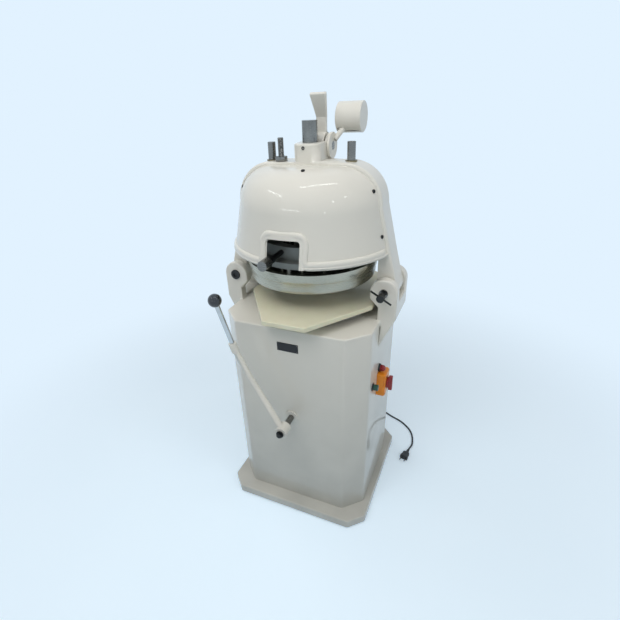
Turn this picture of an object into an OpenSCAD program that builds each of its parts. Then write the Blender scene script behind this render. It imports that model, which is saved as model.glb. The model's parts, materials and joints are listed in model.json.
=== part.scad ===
// Dough divider rounder on a cabinet stand, for a bakery.
// Millimetres. X points right, Y to the back and Z up.
// The origin lies on the floor under the middle of the base plate.

/* [Base plate] */
// Width and depth of the base plate
base_w = 560; // [540:1:620]
// Height of the base plate
base_h = 38; // [26:1:60]
// Corner cut of the base plate
base_cut = 52; // [20:1:80]
// Width of the base plate's frame round its open middle
base_rim = 90; // [60:1:120]
// Height of the recessed foot under the base plate
foot_h = 6; // [3:1:12]
// How far the foot stands back from the edge
foot_inset = 8; // [4:1:20]

/* [Cabinet] */
// Width of the cabinet
cab_w = 512; // [500:1:530]
// Depth of the cabinet
cab_d = 460; // [456:1:480]
// Height of the cabinet
cab_h = 734; // [700:1:780]
// Corner cut of the cabinet
cab_cut = 66; // [50:1:80]
// Sheet thickness of the cabinet
cab_wall = 3; // [2:0.5:5]
// Width of the service opening at the back
door_w = 290; // [240:1:300]
// Height of the wall left above the service opening
door_drop = 124; // [110:1:200]
// Thickness of the panel over the service opening
door_t = 3; // [2:0.5:5]

/* [Body casting] */
// Thickness of the deck
deck_t = 18; // [14:1:24]
// Height of the head pivot above the deck
pivot_rise = 95; // [92:1:110]
// How far the head pivot stands outside the cabinet wall
pivot_out = 6; // [4:1:14]
// Radius of the lug ears
lug_r = 43; // [40:1:48]
// Thickness of one lug ear
lug_t = 32; // [24:1:40]
// Gap between the two ears of a pair
lug_gap = 92; // [88:1:100]
// How far the shoulders reach down the cabinet wall
shoulder_drop = 82; // [60:1:110]
// Diameter of the hinge pin
hinge_pin_d = 24; // [18:1:28]

/* [Head] */
// Radius of the knuckles at the feet of the arch
knuckle_r = 36; // [30:1:38]
// Height of the dome rim above the pivot
rim_rise = 110; // [106:1:122]
// Gap between the press ring and the rim of the dome covers
dome_gap = 54; // [50:1:60]
// Height of the sloping dome wall
dome_wall_h = 138; // [128:1:146]
// How much the dome wall draws in towards the top
dome_taper = 32; // [26:1:36]
// Radius of the dome shoulder
dome_arc_r = 110; // [100:1:114]
// Wall thickness of the dome covers
dome_wall = 5; // [3:0.5:8]
// How far each dome axis lies behind the middle of the head
dome_back = 30; // [26:1:34]
// How far the arch stands proud of the covers
arch_proud = 10; // [6:1:14]
// Shoulder radius of the arch
arch_arc_r = 118; // [114:1:122]
// Thickness of the arch at the crown
arch_t = 30; // [26:1:34]
// Width of the notch in the front cover
notch_w = 108; // [96:1:120]
// Height of the notch in the front cover
notch_h = 78; // [70:1:90]
// Height of the boss above the crown of the arch
boss_rise = 49; // [45:1:50]

/* [Press drive] */
// Module of the rack and the gear sector
gear_module = 3; // [2.5:0.5:3]
// Teeth on the full circle of the gear sector
gear_teeth = 36; // [34:1:38]
// Thickness of the gear sector
sector_t = 14; // [10:1:15]
// Diameter of the ram
ram_d = 45; // [42:1:46]
// Height of the ram above the lever shaft
ram_rise = 74; // [72:1:80]
// Height of the lever shaft above the crown of the arch
shaft_rise = 33; // [31:1:35]
// Diameter of the lever shaft
shaft_d = 24; // [20:1:26]
// Width of the lever bar
lever_w = 32; // [26:1:33]
// Thickness of the lever bar
lever_t = 12; // [8:1:13]
// Height of the lever's bend above its shaft
lever_bend_h = 79; // [74:1:100]
// Length of the flared lever end
paddle_l = 68; // [50:1:100]
// Width of the flared lever end
paddle_w = 50; // [40:1:60]
// Forward lean of the flared lever end, in degrees
paddle_lean = 25; // [10:1:30]
// Diameter of the counterweight
weight_d = 86; // [70:1:88]
// Length of the counterweight
weight_l = 78; // [60:1:90]
// Diameter of the guide rods
guide_d = 24; // [18:1:28]
// Distance between the guide rods
guide_span = 254; // [250:1:256]
// Diameter of the stop stud
stud_d = 18; // [14:1:18]

/* [Press head] */
// Inside radius of the press ring
ring_in_r = 200.5; // [199.5:0.5:202]
// Height of the press ring
ring_h = 62; // [58:1:64]
// Height of the press ring's lower edge above the dough plate
ring_gap = 67; // [65:1:70]
// Thickness of the crosshead
cross_t = 18; // [12:1:24]
// Height of the posts between the press ring and the crosshead
post_h = 11; // [10:1:16]
// Thickness of the press plates
press_t = 12; // [8:1:13]
// Thickness of the knives
knife_t = 1.5; // [1:0.5:2]
// Height of the knives
knife_h = 21; // [20:1:22]
// Height of the lock ring
lock_h = 40; // [30:1:44]
// Diameter of the lock handle
handle_d = 16; // [12:1:18]
// Length of the lock handle outside the lock ring
handle_l = 88; // [80:1:100]

/* [Rounding table] */
// Throw of the eccentric
throw = 15; // [8:1:15]
// Radius of the round table
table_r = 200; // [180:1:205]
// Thickness of the round table
table_t = 16; // [12:1:20]
// Thickness of the dough plate
plate_t = 16; // [12:1:20]
// Width of the dough plate
plate_w = 428; // [420:1:430]
// Reach of the dough plate to the front
plate_front = 282; // [270:1:284]
// Reach of the dough plate to the back
plate_back = 215; // [205:1:220]
// Thickness of the crank webs
web_t = 13; // [10:1:16]

/* [Drive] */
// Diameter of the crank shaft
crank_d = 30; // [26:1:32]
// Radius of the large pulley
pulley_r = 110; // [100:1:112]
// Radius of the motor pulley
motor_pulley_r = 32; // [28:1:33]
// Distance between crank shaft and motor shaft
motor_y = 146; // [146:1:150]
// Diameter of the motor
motor_d = 150; // [120:1:154]
// Length of the motor
motor_l = 220; // [160:1:260]
// Height of the pulleys
pulley_h = 28; // [24:1:34]

/* [Rounding lever] */
// Height of the rounding lever's shaft above the floor
swing_z = 438; // [400:1:470]
// How far the lever stands in front of the cabinet
swing_out = 74; // [70:1:84]
// Diameter of the rounding lever's shaft
swing_shaft_d = 22; // [18:1:26]
// Diameter of the painted lever arm
swing_arm_d = 20; // [16:1:24]
// Diameter of the steel lever rod
swing_rod_d = 16; // [12:1:18]
// Diameter of the ball knob
ball_d = 42; // [34:1:50]

/* [Controls] */
// Width of the switch box along the cabinet wall
switch_w = 60; // [58:1:70]
// Height of the switch box
switch_h = 90; // [70:1:92]
// Depth of the switch box
switch_d = 30; // [18:1:40]
// Diameter of the start button
button_d = 21; // [18:1:26]
// Travel of the start button
button_travel = 3.5; // [2:0.5:4]
// Diameter of the pilot lamp lens
lamp_d = 22; // [18:1:26]
// Width of the name plate
name_w = 74; // [50:1:90]
// Height of the name plate
name_h = 31; // [20:1:40]

/* [Cord] */
// Diameter of the cord
cord_d = 8; // [6:0.5:8]

/* [Hidden] */
$fn = 64;

// Finishes
enamel = "#e9ebe6";
cast_grey = "#9da09c";
bright_steel = "#b4b8ba";
dark_steel = "#3a3c3d";
aluminium = "#c3c7c6";
ivory = "#dcdcc0";
black = "#17181a";
orange = "#f08a1c";
red = "#b01412";
green = "#0f5a3c";
brass = "#b08d4c";

// Fits shared by all pieces
over = 1;
run_gap = 0.06;
seat_gap = 0.04;
clear = 0.3;
side_gap = 2;

// Heights of the stand
deck_z = base_h + cab_h;
deck_top = deck_z + deck_t;
pivot_z = deck_top + pivot_rise;
cab_x = cab_w / 2;
cab_y = cab_d / 2;
pivot_x = cab_x + pivot_out;
shoulder_x = pivot_x + lug_r;
lug_in_y = lug_gap / 2;
lug_out_y = lug_in_y + lug_t;

// Service panel at the back
door_rise = 90;
door_h = cab_h - door_rise - door_drop;
door_lap = 10;
door_screw_d = 8;
door_screw_head_d = 14;
door_screw_head_h = 5;
door_screw_l = 10;
door_z = base_h + door_rise;
door_screw_rows = 3;

// Body casting
slot_floor = 10;
undercut_low = 45;
undercut_high = 72;
undercut_in = 10;
lug_in_x = pivot_x - lug_r;
undercut_x = cab_x - undercut_in;
shaft_hole_gap = 3;

// Hinge pin and lock screw
pin_head_d = 34;
pin_head_h = 6;
pin_socket_d = 18;
pin_socket_h = 4;
pin_tail = 3;
bush_wall = 4;
lock_bush_d = 28;
lock_bush_h = 5;
lock_screw_d = 13;
lock_neck_l = 22;
lock_head_d = 24;
lock_head_l = 22;
tee_d = 6;
tee_l = 75;
tee_tilt = 30;

// Section of the press ring
ring_wall = 5.5;
ring_step = 3;
ring_flare = 6;
ring_top_r = ring_in_r + ring_wall + ring_step + ring_flare;

// Dome covers
dome_rim_r = ring_top_r + dome_gap;
rim_z = pivot_z + rim_rise;
spring_z = rim_z + dome_wall_h;
dome_wall_r = dome_rim_r - dome_taper;
dome_flat_r = dome_wall_r - dome_arc_r;
dome_top = spring_z + dome_arc_r;
bead_r = 4.2;
bead_set = 0.6;
notch_bead = 14;
notch_bead_t = 4;
notch_corner = 12;

// Arch
arch_y = lug_in_y - side_gap;
face_off = dome_back + arch_y;
function half_chord(r) = sqrt(r * r - face_off * face_off);
arch_rim_x = half_chord(dome_rim_r) + arch_proud;
arch_wall_x = half_chord(dome_wall_r) + arch_proud;
arch_flat_x = arch_wall_x - arch_arc_r;
arch_in_r = arch_arc_r - arch_t;
arch_in_x = arch_flat_x + arch_in_r;
arch_top = spring_z + arch_arc_r;
arch_under = arch_top - arch_t;
leg_slope = 35;
ledge_t = 10;
ledge_d = 22;

// Cover screws, as turns of the dome section about its own axis
cover_screw_d = 6;
cover_screw_head_d = 11;
cover_screw_head_h = 3;
cover_screw_l = 16;
cover_screw_setback = 11;
wall_lean = atan(dome_taper / dome_wall_h);
wall_screw_rise_share = 0.42;
arc_screw_lean = 25;
crown_screw_lean = 76.5;
crown_screw_turn = 10;
crown_tongue_w = 34;
crown_tongue_l = 92;

// Boss and press drive
shaft_z = arch_top + shaft_rise;
pitch_r = gear_module * gear_teeth / 2;
tooth_pitch = PI * gear_module;
tip_r = pitch_r + gear_module;
root_share = 1.25;
root_r = pitch_r - root_share * gear_module;
pressure_angle = 20;
backlash = 0.5;
rack_offset = 12;
shaft_y = rack_offset + pitch_r;
pocket_gap = 3;
pocket_floor = shaft_z - tip_r - pocket_gap;
boss_floor_t = 9;
boss_z = pocket_floor - boss_floor_t;
boss_top = arch_top + boss_rise;
sector_x = -21;
hub_gap = 2;
hub_x = sector_x + sector_t + hub_gap;
hub_d = 76;
hub_side = 1;
pocket_back = 4;
lever_root = 20;
hub_l = lever_w + 2 * hub_side;
pocket_x0 = sector_x - pocket_gap;
pocket_x1 = hub_x + hub_l + pocket_gap;
pocket_y0 = shaft_y - tip_r - hub_side;
pocket_y1 = shaft_y + hub_d / 2 + pocket_back;
boss_left_t = 18;
boss_right_t = 8;
boss_back_t = 14;
boss_x0 = pocket_x0 - boss_left_t;
boss_x1 = pocket_x1 + boss_right_t;
boss_y1 = pocket_y1 + boss_back_t;
boss_corner = 30;
lobe_r = 34;
lever_bush_wall = 5;
sector_hub_r = 22;
sector_low = 15;
sector_high = 92;
shaft_end = 2;
disc_d = 75;
disc_t = 8;
disc_gap = 0.5;
disc_x = boss_x1 + disc_gap;
arm_d = 16;
arm_start_r = 20;
arm_lift = 0.5;
weight_dy = 64;
weight_dz = 72;
weight_x = 45;
weight_seat = 22;
ram_top = shaft_z + ram_rise;
rack_low = 4;

// Guides and stop stud
bush_up = 2;
guide_bush_wall = 5;
stud_x = 84;
stud_y = 25;
stud_rise = 65;
nut_af = 32;
nut_h = 14;
spring_r = 9;
spring_wall = 3;

// Press head
table_floor = 1;
web_gap = 2;
web_z = deck_top + table_floor;
table_z = web_z + web_t + web_gap;
plate_z = table_z + table_t;
plate_top = plate_z + plate_t;
ring_z = plate_top + ring_gap;
ring_flange_t = 8;
ring_flange_w = 24.5;
ring_low_shares = [0.19, 0.47, 0.55, 0.8];
ring_top = ring_z + ring_h;
leg_clear = 17;
leg_in_x = ring_top_r + leg_clear;
cross_z = ring_top + post_h;
cross_top = cross_z + cross_t;
cross_r = 198;
post_d = 16;
post_r = ring_in_r - ring_flange_w / 2 - side_gap;
post_count = 6;
press_side = 1;
press_rise = 30;
press_z = ring_z + press_rise;
press_r = ring_in_r - side_gap;
stem_d = 10;
knife_rise = 22;
knife_z = ring_z + knife_rise;
knife_zone_r = [0, 70, 138, 198];
knife_counts = [4, 10, 16];
knife_post_d = 10;
knife_post_gap = 1.5;
carrier_rise = 49;
carrier_t = 12;
carrier_w = 7;
carrier_z = cross_top + carrier_rise;
ram_hub_d = 80;
ram_hub_h = 20;
lock_in_r = 146;
lock_out_r = 172;
spigot_w = 5;
spigot_h = 10;
lock_z = cross_top + clear;
handle_rise = 22;
handle_x = -31;
handle_seat = 16;
collar_d = 24;
collar_l = 25;
knob_d = 30;
knob_l = 38;

// Rounding table
crank_web_r = 24;
crank_pin_d = 25;
idler_r = 140;
idler_web_r = 14;
idler_pin_d = 16;
idler_start = 90;
plate_nose_w = 140;
plate_side_front = 75;
plate_side_back = 150;
plate_back_w = 300;

// Drive
housing_r = 40;
housing_h = 82;
flange_r = 70;
flange_h = 12;
bearing_r = 26;
bearing_h = 15;
bearing_edge = 4;
housing_z = deck_z - housing_h;
pulley_drop = 22;
pulley_z = housing_z - pulley_drop - pulley_h;
groove_d = 8;
belt_side = 5;
belt_t = 6;
hole_count = 6;
hole_r = 20;
hole_ring_r = 68;
bracket_t = 12;
bracket_side_x = 80;
bracket_side_t = 10;
bracket_y0 = 100;
bracket_y1 = 190;
bracket_z = pulley_z - bracket_t - 2 * web_gap;
motor_shaft_d = 24;
motor_shaft_in = 60;
bracket_hole_gap = 8;
fin_count = 20;
fin_d = 4;
fin_w = 8;
motor_cap_h = 26;

// Rounding lever
swing_y = -cab_y - swing_out;
swing_hub_d = 44;
swing_hub_l = 40;
swing_flange_d = 50;
swing_flange_t = 5;
swing_bush_d = 40;
swing_bush_l = 50;
cam_r = 28;
cam_t = 14;
cam_off = 10;
shaft_tail = 4;
socket_d = 26;
socket_depth = 34;
socket_floor = 10;
arm_start = 15;
elbow_x = -107;
elbow_rise = 195;
socket_x = -156;
socket_rise = 317;
socket_lean = 3;
ball_x = -188;
ball_rise = 465;
ball_lean = 16;
rod_in_ball = 8;
swing_hub = [0, swing_y, swing_z];
swing_elbow = [elbow_x, swing_y, swing_z + elbow_rise];
swing_socket = [socket_x, swing_y - socket_lean, swing_z + socket_rise];
swing_ball = [ball_x, swing_y - ball_lean, swing_z + ball_rise];

// Controls
switch_y = -38;
switch_drop = 241;
switch_z = deck_z - switch_drop;
switch_corner = 6;
switch_lip = 4;
knob_stem_d = 12;
knob_stem_in = 10;
switch_knob_d = 40;
switch_knob_h = 6;
switch_bar_w = 14;
switch_bar_l = 56;
switch_bar_h = 13;
button_y = -124;
button_drop = 210;
button_z = deck_z - button_drop;
button_l = 16;
button_stem_d = 14;
button_stem_l = 12;
lamp_y = -46;
lamp_drop = 180;
lamp_z = deck_z - lamp_drop;
lamp_l = 24;
lamp_bezel_d = 28;
lamp_bezel_h = 6;
lamp_stem_d = 16;
lamp_stem_l = 8;
name_t = 1.5;
name_drop = 47;

// Cord: gland, drop, coil, lead and plug
gland_in = 16;
gland_rise = 48;
gland_stem_d = 18;
gland_stem_l = 8;
gland_nut_d = 28;
gland_nut_l = 10;
gland_taper_d = 20;
gland_tip_d = 13;
gland_l = 25;
gland_x = cab_x - cab_cut - gland_in;
gland_z = base_h + gland_rise;
coil_x = 70;
coil_y = 394;
coil_z = 4.1;
coil_out_r = 54;
coil_step = 9.6;
coil_layer = 9.2;
coil_turns = 2;
coil_rings = 24;
coil_sides = 6;
cord_sides = 8;
coil_run = coil_turns * 2 + 0.5;
drop_points = [[174, 265, 86], [174, 273, 86], [173, 290, 83], [169, 306, 73], [162, 319, 57], [153, 328, 39],
  [142, 334, 23], [129, 338, 11], [114, 340, 5], [96, 340, 4.1], [78, 340, 4.1]];
lead_points = [[78, 448, 13.3], [86, 448, 13.3], [102, 448, 11], [119, 446.5, 7], [135, 444.5, 4.6],
  [152, 441, 4.1], [172, 434, 4.1], [192, 425, 4.1], [212, 414, 4.1], [232, 403, 4.1], [252, 394, 4.1],
  [272, 386, 4.1], [292, 376, 4.1], [310, 363, 4.1], [327, 348, 4.1], [342, 331, 4.1], [353, 312, 4.1],
  [361, 292, 4.1], [366, 271, 4.1], [369, 250, 4.2], [369, 234, 5.5], [367, 219, 9], [364, 204, 12.3],
  [362, 194, 12.3]];
plug_w = 34;
plug_h = 24;
plug_l = 36;
plug_neck_l = 20;
plug_neck_d = 14;
plug_corner = 7;
plug_pin_d = 4.8;
plug_pin_l = 19;
plug_pin_gap = 19;

// Shapes that repeat
module cut_square(w, d, cut) {
  polygon([[cut - w / 2, -d / 2], [w / 2 - cut, -d / 2], [w / 2, cut - d / 2], [w / 2, d / 2 - cut],
    [w / 2 - cut, d / 2], [cut - w / 2, d / 2], [-w / 2, d / 2 - cut], [-w / 2, cut - d / 2]]);
}

module round_square(w, d, r) {
  square([w - 2 * r, d], center = true);
  square([w, d - 2 * r], center = true);
  for (sx = [-1, 1], sy = [-1, 1])
    translate([sx * (w / 2 - r), sy * (d / 2 - r)]) circle(r);
}

module along_x(at, l, d) {
  translate(at) rotate([0, 90, 0]) cylinder(h = l, d = d);
}

module along_y(at, l, d) {
  translate(at) rotate([-90, 0, 0]) cylinder(h = l, d = d);
}

module along_z(at, l, d) {
  translate(at) cylinder(h = l, d = d);
}

module rod(p, q, d) {
  v = q - p;
  translate(p) rotate([0, acos(v[2] / norm(v)), atan2(v[1], v[0])]) cylinder(h = norm(v), d = d);
}

module sleeve(h, d_out, d_in) {
  difference() {
    cylinder(h = h, d = d_out);
    translate([0, 0, -over]) cylinder(h = h + 2 * over, d = d_in);
  }
}

// A section in X and Z, drawn flat, stands up and runs from y0 to y1.
module stand_up(y0, y1) {
  translate([0, y1, 0]) rotate([90, 0, 0]) linear_extrude(y1 - y0) children();
}

// A section in Y and Z, drawn flat, runs from x0 to x1.
module run_across(x0, x1) {
  translate([x0, 0, 0]) rotate([90, 0, 90]) linear_extrude(x1 - x0) children();
}

module both_sides() {
  children();
  mirror([1, 0, 0]) children();
}

module quarter(r) {
  intersection() {
    circle(r);
    square(r + over);
  }
}

function unit(v) = v / norm(v);
function along(path, i) = unit(path[min(i + 1, len(path) - 1)] - path[max(i - 1, 0)]);
function level(t) = unit([-t[1], t[0], 0]);
function tube_ring(p, t, r, sides) = [for (k = [0:sides - 1])
  p + r * (cos(360 * (k + 0.5) / sides) * level(t) + sin(360 * (k + 0.5) / sides) * cross(t, level(t)))];

// One unbroken tube along a path of points.
module tube(path, d, sides) {
  n = len(path);
  rings = [for (i = [0:n - 1]) each tube_ring(path[i], along(path, i), d / 2, sides)];
  skin = [for (i = [0:n - 2], k = [0:sides - 1])
    let (a = i * sides + k, b = i * sides + (k + 1) % sides)
    each [[a, a + sides, b], [b, a + sides, b + sides]]];
  caps = [for (k = [1:sides - 2])
    each [[0, k, k + 1], [(n - 1) * sides, (n - 1) * sides + k + 1, (n - 1) * sides + k]]];
  polyhedron(points = rings, faces = concat(skin, caps));
}

// Stand: base plate, cabinet and service panel
module base_plate() color(enamel) {
  open_w = base_w - 2 * base_rim;
  foot_w = base_w - 2 * foot_inset;
  difference() {
    union() {
      translate([0, 0, foot_h]) linear_extrude(base_h - foot_h) cut_square(base_w, base_w, base_cut);
      linear_extrude(foot_h) cut_square(foot_w, foot_w, base_cut);
    }
    translate([0, 0, -over]) linear_extrude(base_h + 2 * over) cut_square(open_w, open_w, base_cut);
  }
}

module door_screw_places() {
  for (side = [-1, 1], row = [0:door_screw_rows - 1])
    translate([side * (door_w + door_lap) / 2, 0, door_z + row * door_h / (door_screw_rows - 1)])
      children();
}

module cabinet_shell() color(enamel) difference() {
  translate([0, 0, base_h]) linear_extrude(cab_h) difference() {
    cut_square(cab_w, cab_d, cab_cut);
    cut_square(cab_w - 2 * cab_wall, cab_d - 2 * cab_wall, cab_cut - cab_wall * (2 - sqrt(2)));
  }
  translate([-door_w / 2, cab_y - cab_wall - over, door_z])
    cube([door_w, cab_wall + 2 * over, door_h]);
  door_screw_places()
    along_y([0, cab_y - cab_wall - over, 0], cab_wall + 2 * over, door_screw_d + 2 * seat_gap);
  along_y([0, -cab_y - over, swing_z], cab_wall + 2 * over, swing_bush_d + 2 * seat_gap);
  along_y([gland_x, cab_y - cab_wall - over, gland_z], cab_wall + 2 * over, gland_stem_d + 2 * seat_gap);
  along_x([cab_x - cab_wall - over, button_y, button_z], cab_wall + 2 * over, button_stem_d + 2 * run_gap);
  along_x([cab_x - cab_wall - over, lamp_y, lamp_z], cab_wall + 2 * over, lamp_stem_d + 2 * seat_gap);
}

module rear_panel() color(enamel) difference() {
  translate([-door_w / 2 - door_lap, cab_y, door_z - door_lap])
    cube([door_w + 2 * door_lap, door_t, door_h + 2 * door_lap]);
  door_screw_places() along_y([0, cab_y - over, 0], door_t + 2 * over, door_screw_d + 2 * seat_gap);
}

module rear_panel_screws() color(dark_steel) door_screw_places() {
  along_y([0, cab_y + door_t - door_screw_l, 0], door_screw_l, door_screw_d);
  along_y([0, cab_y + door_t, 0], door_screw_head_h, door_screw_head_d);
}

// Stand: body casting with its ears
module shoulder_half() {
  polygon([[cab_x, deck_z - shoulder_drop], [shoulder_x, deck_top + slot_floor], [shoulder_x, pivot_z],
    [lug_in_x, pivot_z], [lug_in_x, deck_top + undercut_high], [undercut_x, deck_top + undercut_low],
    [undercut_x, deck_z], [cab_x, deck_z]]);
  translate([pivot_x, pivot_z]) circle(lug_r);
}

module body_casting() color(enamel) difference() {
  union() {
    translate([0, 0, deck_z]) linear_extrude(deck_t) cut_square(cab_w, cab_d, cab_cut);
    both_sides() stand_up(-lug_out_y, lug_out_y) shoulder_half();
  }
  translate([-shoulder_x - over, -lug_in_y, deck_top + slot_floor])
    cube([shoulder_x + over, lug_gap, pivot_rise + lug_r]);
  translate([0, -lug_in_y, pivot_z - knuckle_r - clear])
    cube([shoulder_x + over, lug_gap, knuckle_r + lug_r + over]);
  along_y([-pivot_x, -lug_out_y - over, pivot_z], 2 * (lug_out_y + over), hinge_pin_d + 2 * seat_gap);
  along_y([pivot_x, -lug_out_y - over, pivot_z], lug_t + 2 * over, lock_screw_d + 2 * run_gap);
  along_z([0, 0, deck_z - over], deck_t + 2 * over, crank_d + 2 * shaft_hole_gap);
  idler_places() along_z([0, 0, deck_z - over], deck_t + 2 * over, idler_pin_d + 2 * run_gap);
}

module hinge_pin() color(dark_steel) difference() {
  union() {
    along_y([-pivot_x, -lug_out_y, pivot_z], 2 * lug_out_y + pin_tail, hinge_pin_d);
    along_y([-pivot_x, -lug_out_y - pin_head_h, pivot_z], pin_head_h, pin_head_d);
  }
  translate([-pivot_x, -lug_out_y - pin_head_h + pin_socket_h, pivot_z]) rotate([90, 0, 0])
    cylinder(h = pin_socket_h + over, d = pin_socket_d, $fn = 6);
}

module lock_bush() color(bright_steel)
  translate([pivot_x, -lug_out_y, pivot_z]) rotate([90, 0, 0])
    sleeve(lock_bush_h, lock_bush_d, lock_screw_d + 2 * run_gap);

module lock_screw() color(dark_steel) {
  tip_y = -arch_y - clear;
  neck_y = -lug_out_y - lock_neck_l;
  along_y([pivot_x, neck_y, pivot_z], tip_y - neck_y, lock_screw_d);
  along_y([pivot_x, neck_y - lock_head_l, pivot_z], lock_head_l, lock_head_d);
  translate([pivot_x, neck_y - lock_head_l / 2, pivot_z]) rotate([0, 90 + tee_tilt, 0])
    cylinder(h = tee_l, d = tee_d, center = true);
}

// Stand: drive under the deck
module bearing_housing() color(cast_grey) difference() {
  union() {
    along_z([0, 0, housing_z], housing_h - flange_h, 2 * housing_r);
    along_z([0, 0, deck_z - flange_h], flange_h, 2 * flange_r);
  }
  along_z([0, 0, housing_z - over], housing_h + 2 * over, 2 * (bearing_r + seat_gap));
}

module deck_bearings() color(bright_steel)
  for (z = [housing_z + bearing_edge, deck_z - bearing_edge - bearing_h])
    translate([0, 0, z]) sleeve(bearing_h, 2 * bearing_r, crank_d + 2 * run_gap);

module crank_web(r, web) {
  translate([0, 0, web_z]) linear_extrude(web) {
    circle(r);
    translate([throw, 0]) circle(r);
    translate([0, -r]) square([throw, 2 * r]);
  }
}

module crank_shaft() color(bright_steel) {
  along_z([0, 0, pulley_z - shaft_end], web_z - pulley_z + shaft_end, crank_d);
  crank_web(crank_web_r, web_t);
  along_z([throw, 0, web_z + web_t], web_gap + table_t, crank_pin_d);
}

module pulley_section(r, bore_r) {
  difference() {
    translate([bore_r, pulley_z]) square([r - bore_r, pulley_h]);
    translate([r - groove_d, pulley_z + belt_side]) square([groove_d + over, pulley_h - 2 * belt_side]);
  }
}

module drive_pulley() color(cast_grey) difference() {
  rotate_extrude() pulley_section(pulley_r, crank_d / 2 + seat_gap);
  for (k = [0:hole_count - 1])
    rotate([0, 0, k * 360 / hole_count])
      along_z([hole_ring_r, 0, pulley_z - over], pulley_h + 2 * over, 2 * hole_r);
}

module motor_pulley() color(bright_steel) {
  translate([0, motor_y, 0]) rotate_extrude() pulley_section(motor_pulley_r, 0);
  along_z([0, motor_y, bracket_z - motor_shaft_in], pulley_z + pulley_h - bracket_z + motor_shaft_in,
    motor_shaft_d);
}

module belt_area(r_a, r_b) {
  spread = acos((r_a - r_b) / motor_y);
  circle(r_a);
  translate([0, motor_y]) circle(r_b);
  polygon([[r_a * sin(spread), r_a * cos(spread)], [r_b * sin(spread), motor_y + r_b * cos(spread)],
    [-r_b * sin(spread), motor_y + r_b * cos(spread)], [-r_a * sin(spread), r_a * cos(spread)]]);
}

module drive_belt() color(black)
  translate([0, 0, pulley_z + belt_side + clear]) linear_extrude(pulley_h - 2 * belt_side - 2 * clear)
    difference() {
      belt_area(pulley_r - groove_d + clear + belt_t, motor_pulley_r - groove_d + clear + belt_t);
      belt_area(pulley_r - groove_d + clear, motor_pulley_r - groove_d + clear);
    }

module motor() color(cast_grey) difference() {
  union() {
    along_z([0, motor_y, bracket_z - motor_l], motor_l, motor_d - 2 * fin_d);
    for (k = [0:fin_count - 1])
      translate([0, motor_y, bracket_z - motor_l + motor_cap_h]) rotate([0, 0, k * 360 / fin_count])
        translate([0, -fin_w / 4, 0]) cube([motor_d / 2, fin_w / 2, motor_l - 2 * motor_cap_h]);
  }
  along_z([0, motor_y, bracket_z - motor_shaft_in - clear], motor_shaft_in + over,
    motor_shaft_d + 2 * run_gap);
}

module motor_bracket() color(cast_grey) difference() {
  union() {
    translate([-bracket_side_x - bracket_side_t, bracket_y0, bracket_z])
      cube([2 * (bracket_side_x + bracket_side_t), bracket_y1 - bracket_y0, bracket_t]);
    both_sides() translate([bracket_side_x, bracket_y0, bracket_z])
      cube([bracket_side_t, bracket_y1 - bracket_y0, deck_z - bracket_z]);
  }
  along_z([0, motor_y, bracket_z - over], bracket_t + 2 * over, motor_shaft_d + 2 * bracket_hole_gap);
}

// Rounding table on its cranks
module idler_places() {
  for (k = [0:2]) rotate([0, 0, idler_start + k * 120]) translate([idler_r, 0, 0]) children();
}

function idler_at(k) = idler_r * [cos(idler_start + k * 120), sin(idler_start + k * 120), 0];

module idler_crank(k) {
  translate(idler_at(k)) {
    along_z([0, 0, deck_z], web_z - deck_z, idler_pin_d);
    crank_web(idler_web_r, web_t);
    along_z([throw, 0, web_z + web_t], web_gap + table_t, idler_pin_d);
  }
}

module idler_crank_1() color(bright_steel) idler_crank(0);
module idler_crank_2() color(bright_steel) idler_crank(1);
module idler_crank_3() color(bright_steel) idler_crank(2);

module rounding_table() color(cast_grey) difference() {
  along_z([throw, 0, table_z], table_t, 2 * table_r);
  along_z([throw, 0, table_z - over], table_t + 2 * over, crank_pin_d + 2 * run_gap);
  for (k = [0:2])
    translate(idler_at(k)) along_z([throw, 0, table_z - over], table_t + 2 * over, idler_pin_d + 2 * run_gap);
}

module plate_outline() {
  polygon([[-plate_nose_w / 2, -plate_front], [plate_nose_w / 2, -plate_front],
    [plate_w / 2, -plate_side_front], [plate_w / 2, plate_side_back], [plate_back_w / 2, plate_back],
    [-plate_back_w / 2, plate_back],
    [-plate_w / 2, plate_side_back], [-plate_w / 2, -plate_side_front]]);
}

module dough_plate() color(ivory)
  translate([throw, 0, plate_z]) linear_extrude(plate_t) plate_outline();

// Rounding lever in front of the cabinet
module lever_bush() color(enamel) difference() {
  union() {
    along_y([0, -cab_y - swing_flange_t, swing_z], swing_flange_t, swing_flange_d);
    along_y([0, -cab_y, swing_z], swing_bush_l, swing_bush_d);
  }
  along_y([0, -cab_y - swing_flange_t - over, swing_z], swing_bush_l + swing_flange_t + 2 * over,
    swing_shaft_d + 2 * run_gap);
}

module round_lever_shaft() color(bright_steel) {
  front = swing_y - swing_hub_l / 2 - shaft_tail;
  back = -cab_y + swing_bush_l + clear;
  along_y([0, front, swing_z], back + cam_t - front, swing_shaft_d);
  along_y([0, back, swing_z + cam_off], cam_t, 2 * cam_r);
}

socket_dir = unit(swing_ball - swing_socket);
socket_base = swing_socket - socket_depth * socket_dir;

module round_lever_arm() color(enamel) difference() {
  union() {
    along_y([0, swing_y - swing_hub_l / 2, swing_z], swing_hub_l, swing_hub_d);
    rod(swing_hub + arm_start * unit(swing_elbow - swing_hub), swing_elbow, swing_arm_d);
    translate(swing_elbow) sphere(d = swing_arm_d + clear);
    rod(swing_elbow, socket_base + socket_floor / 2 * socket_dir, swing_arm_d);
    rod(socket_base, swing_socket, socket_d);
  }
  along_y([0, swing_y - swing_hub_l, swing_z], 2 * swing_hub_l, swing_shaft_d + 2 * seat_gap);
  rod(socket_base + socket_floor * socket_dir, swing_socket + over * socket_dir, swing_rod_d + 2 * seat_gap);
}

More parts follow.
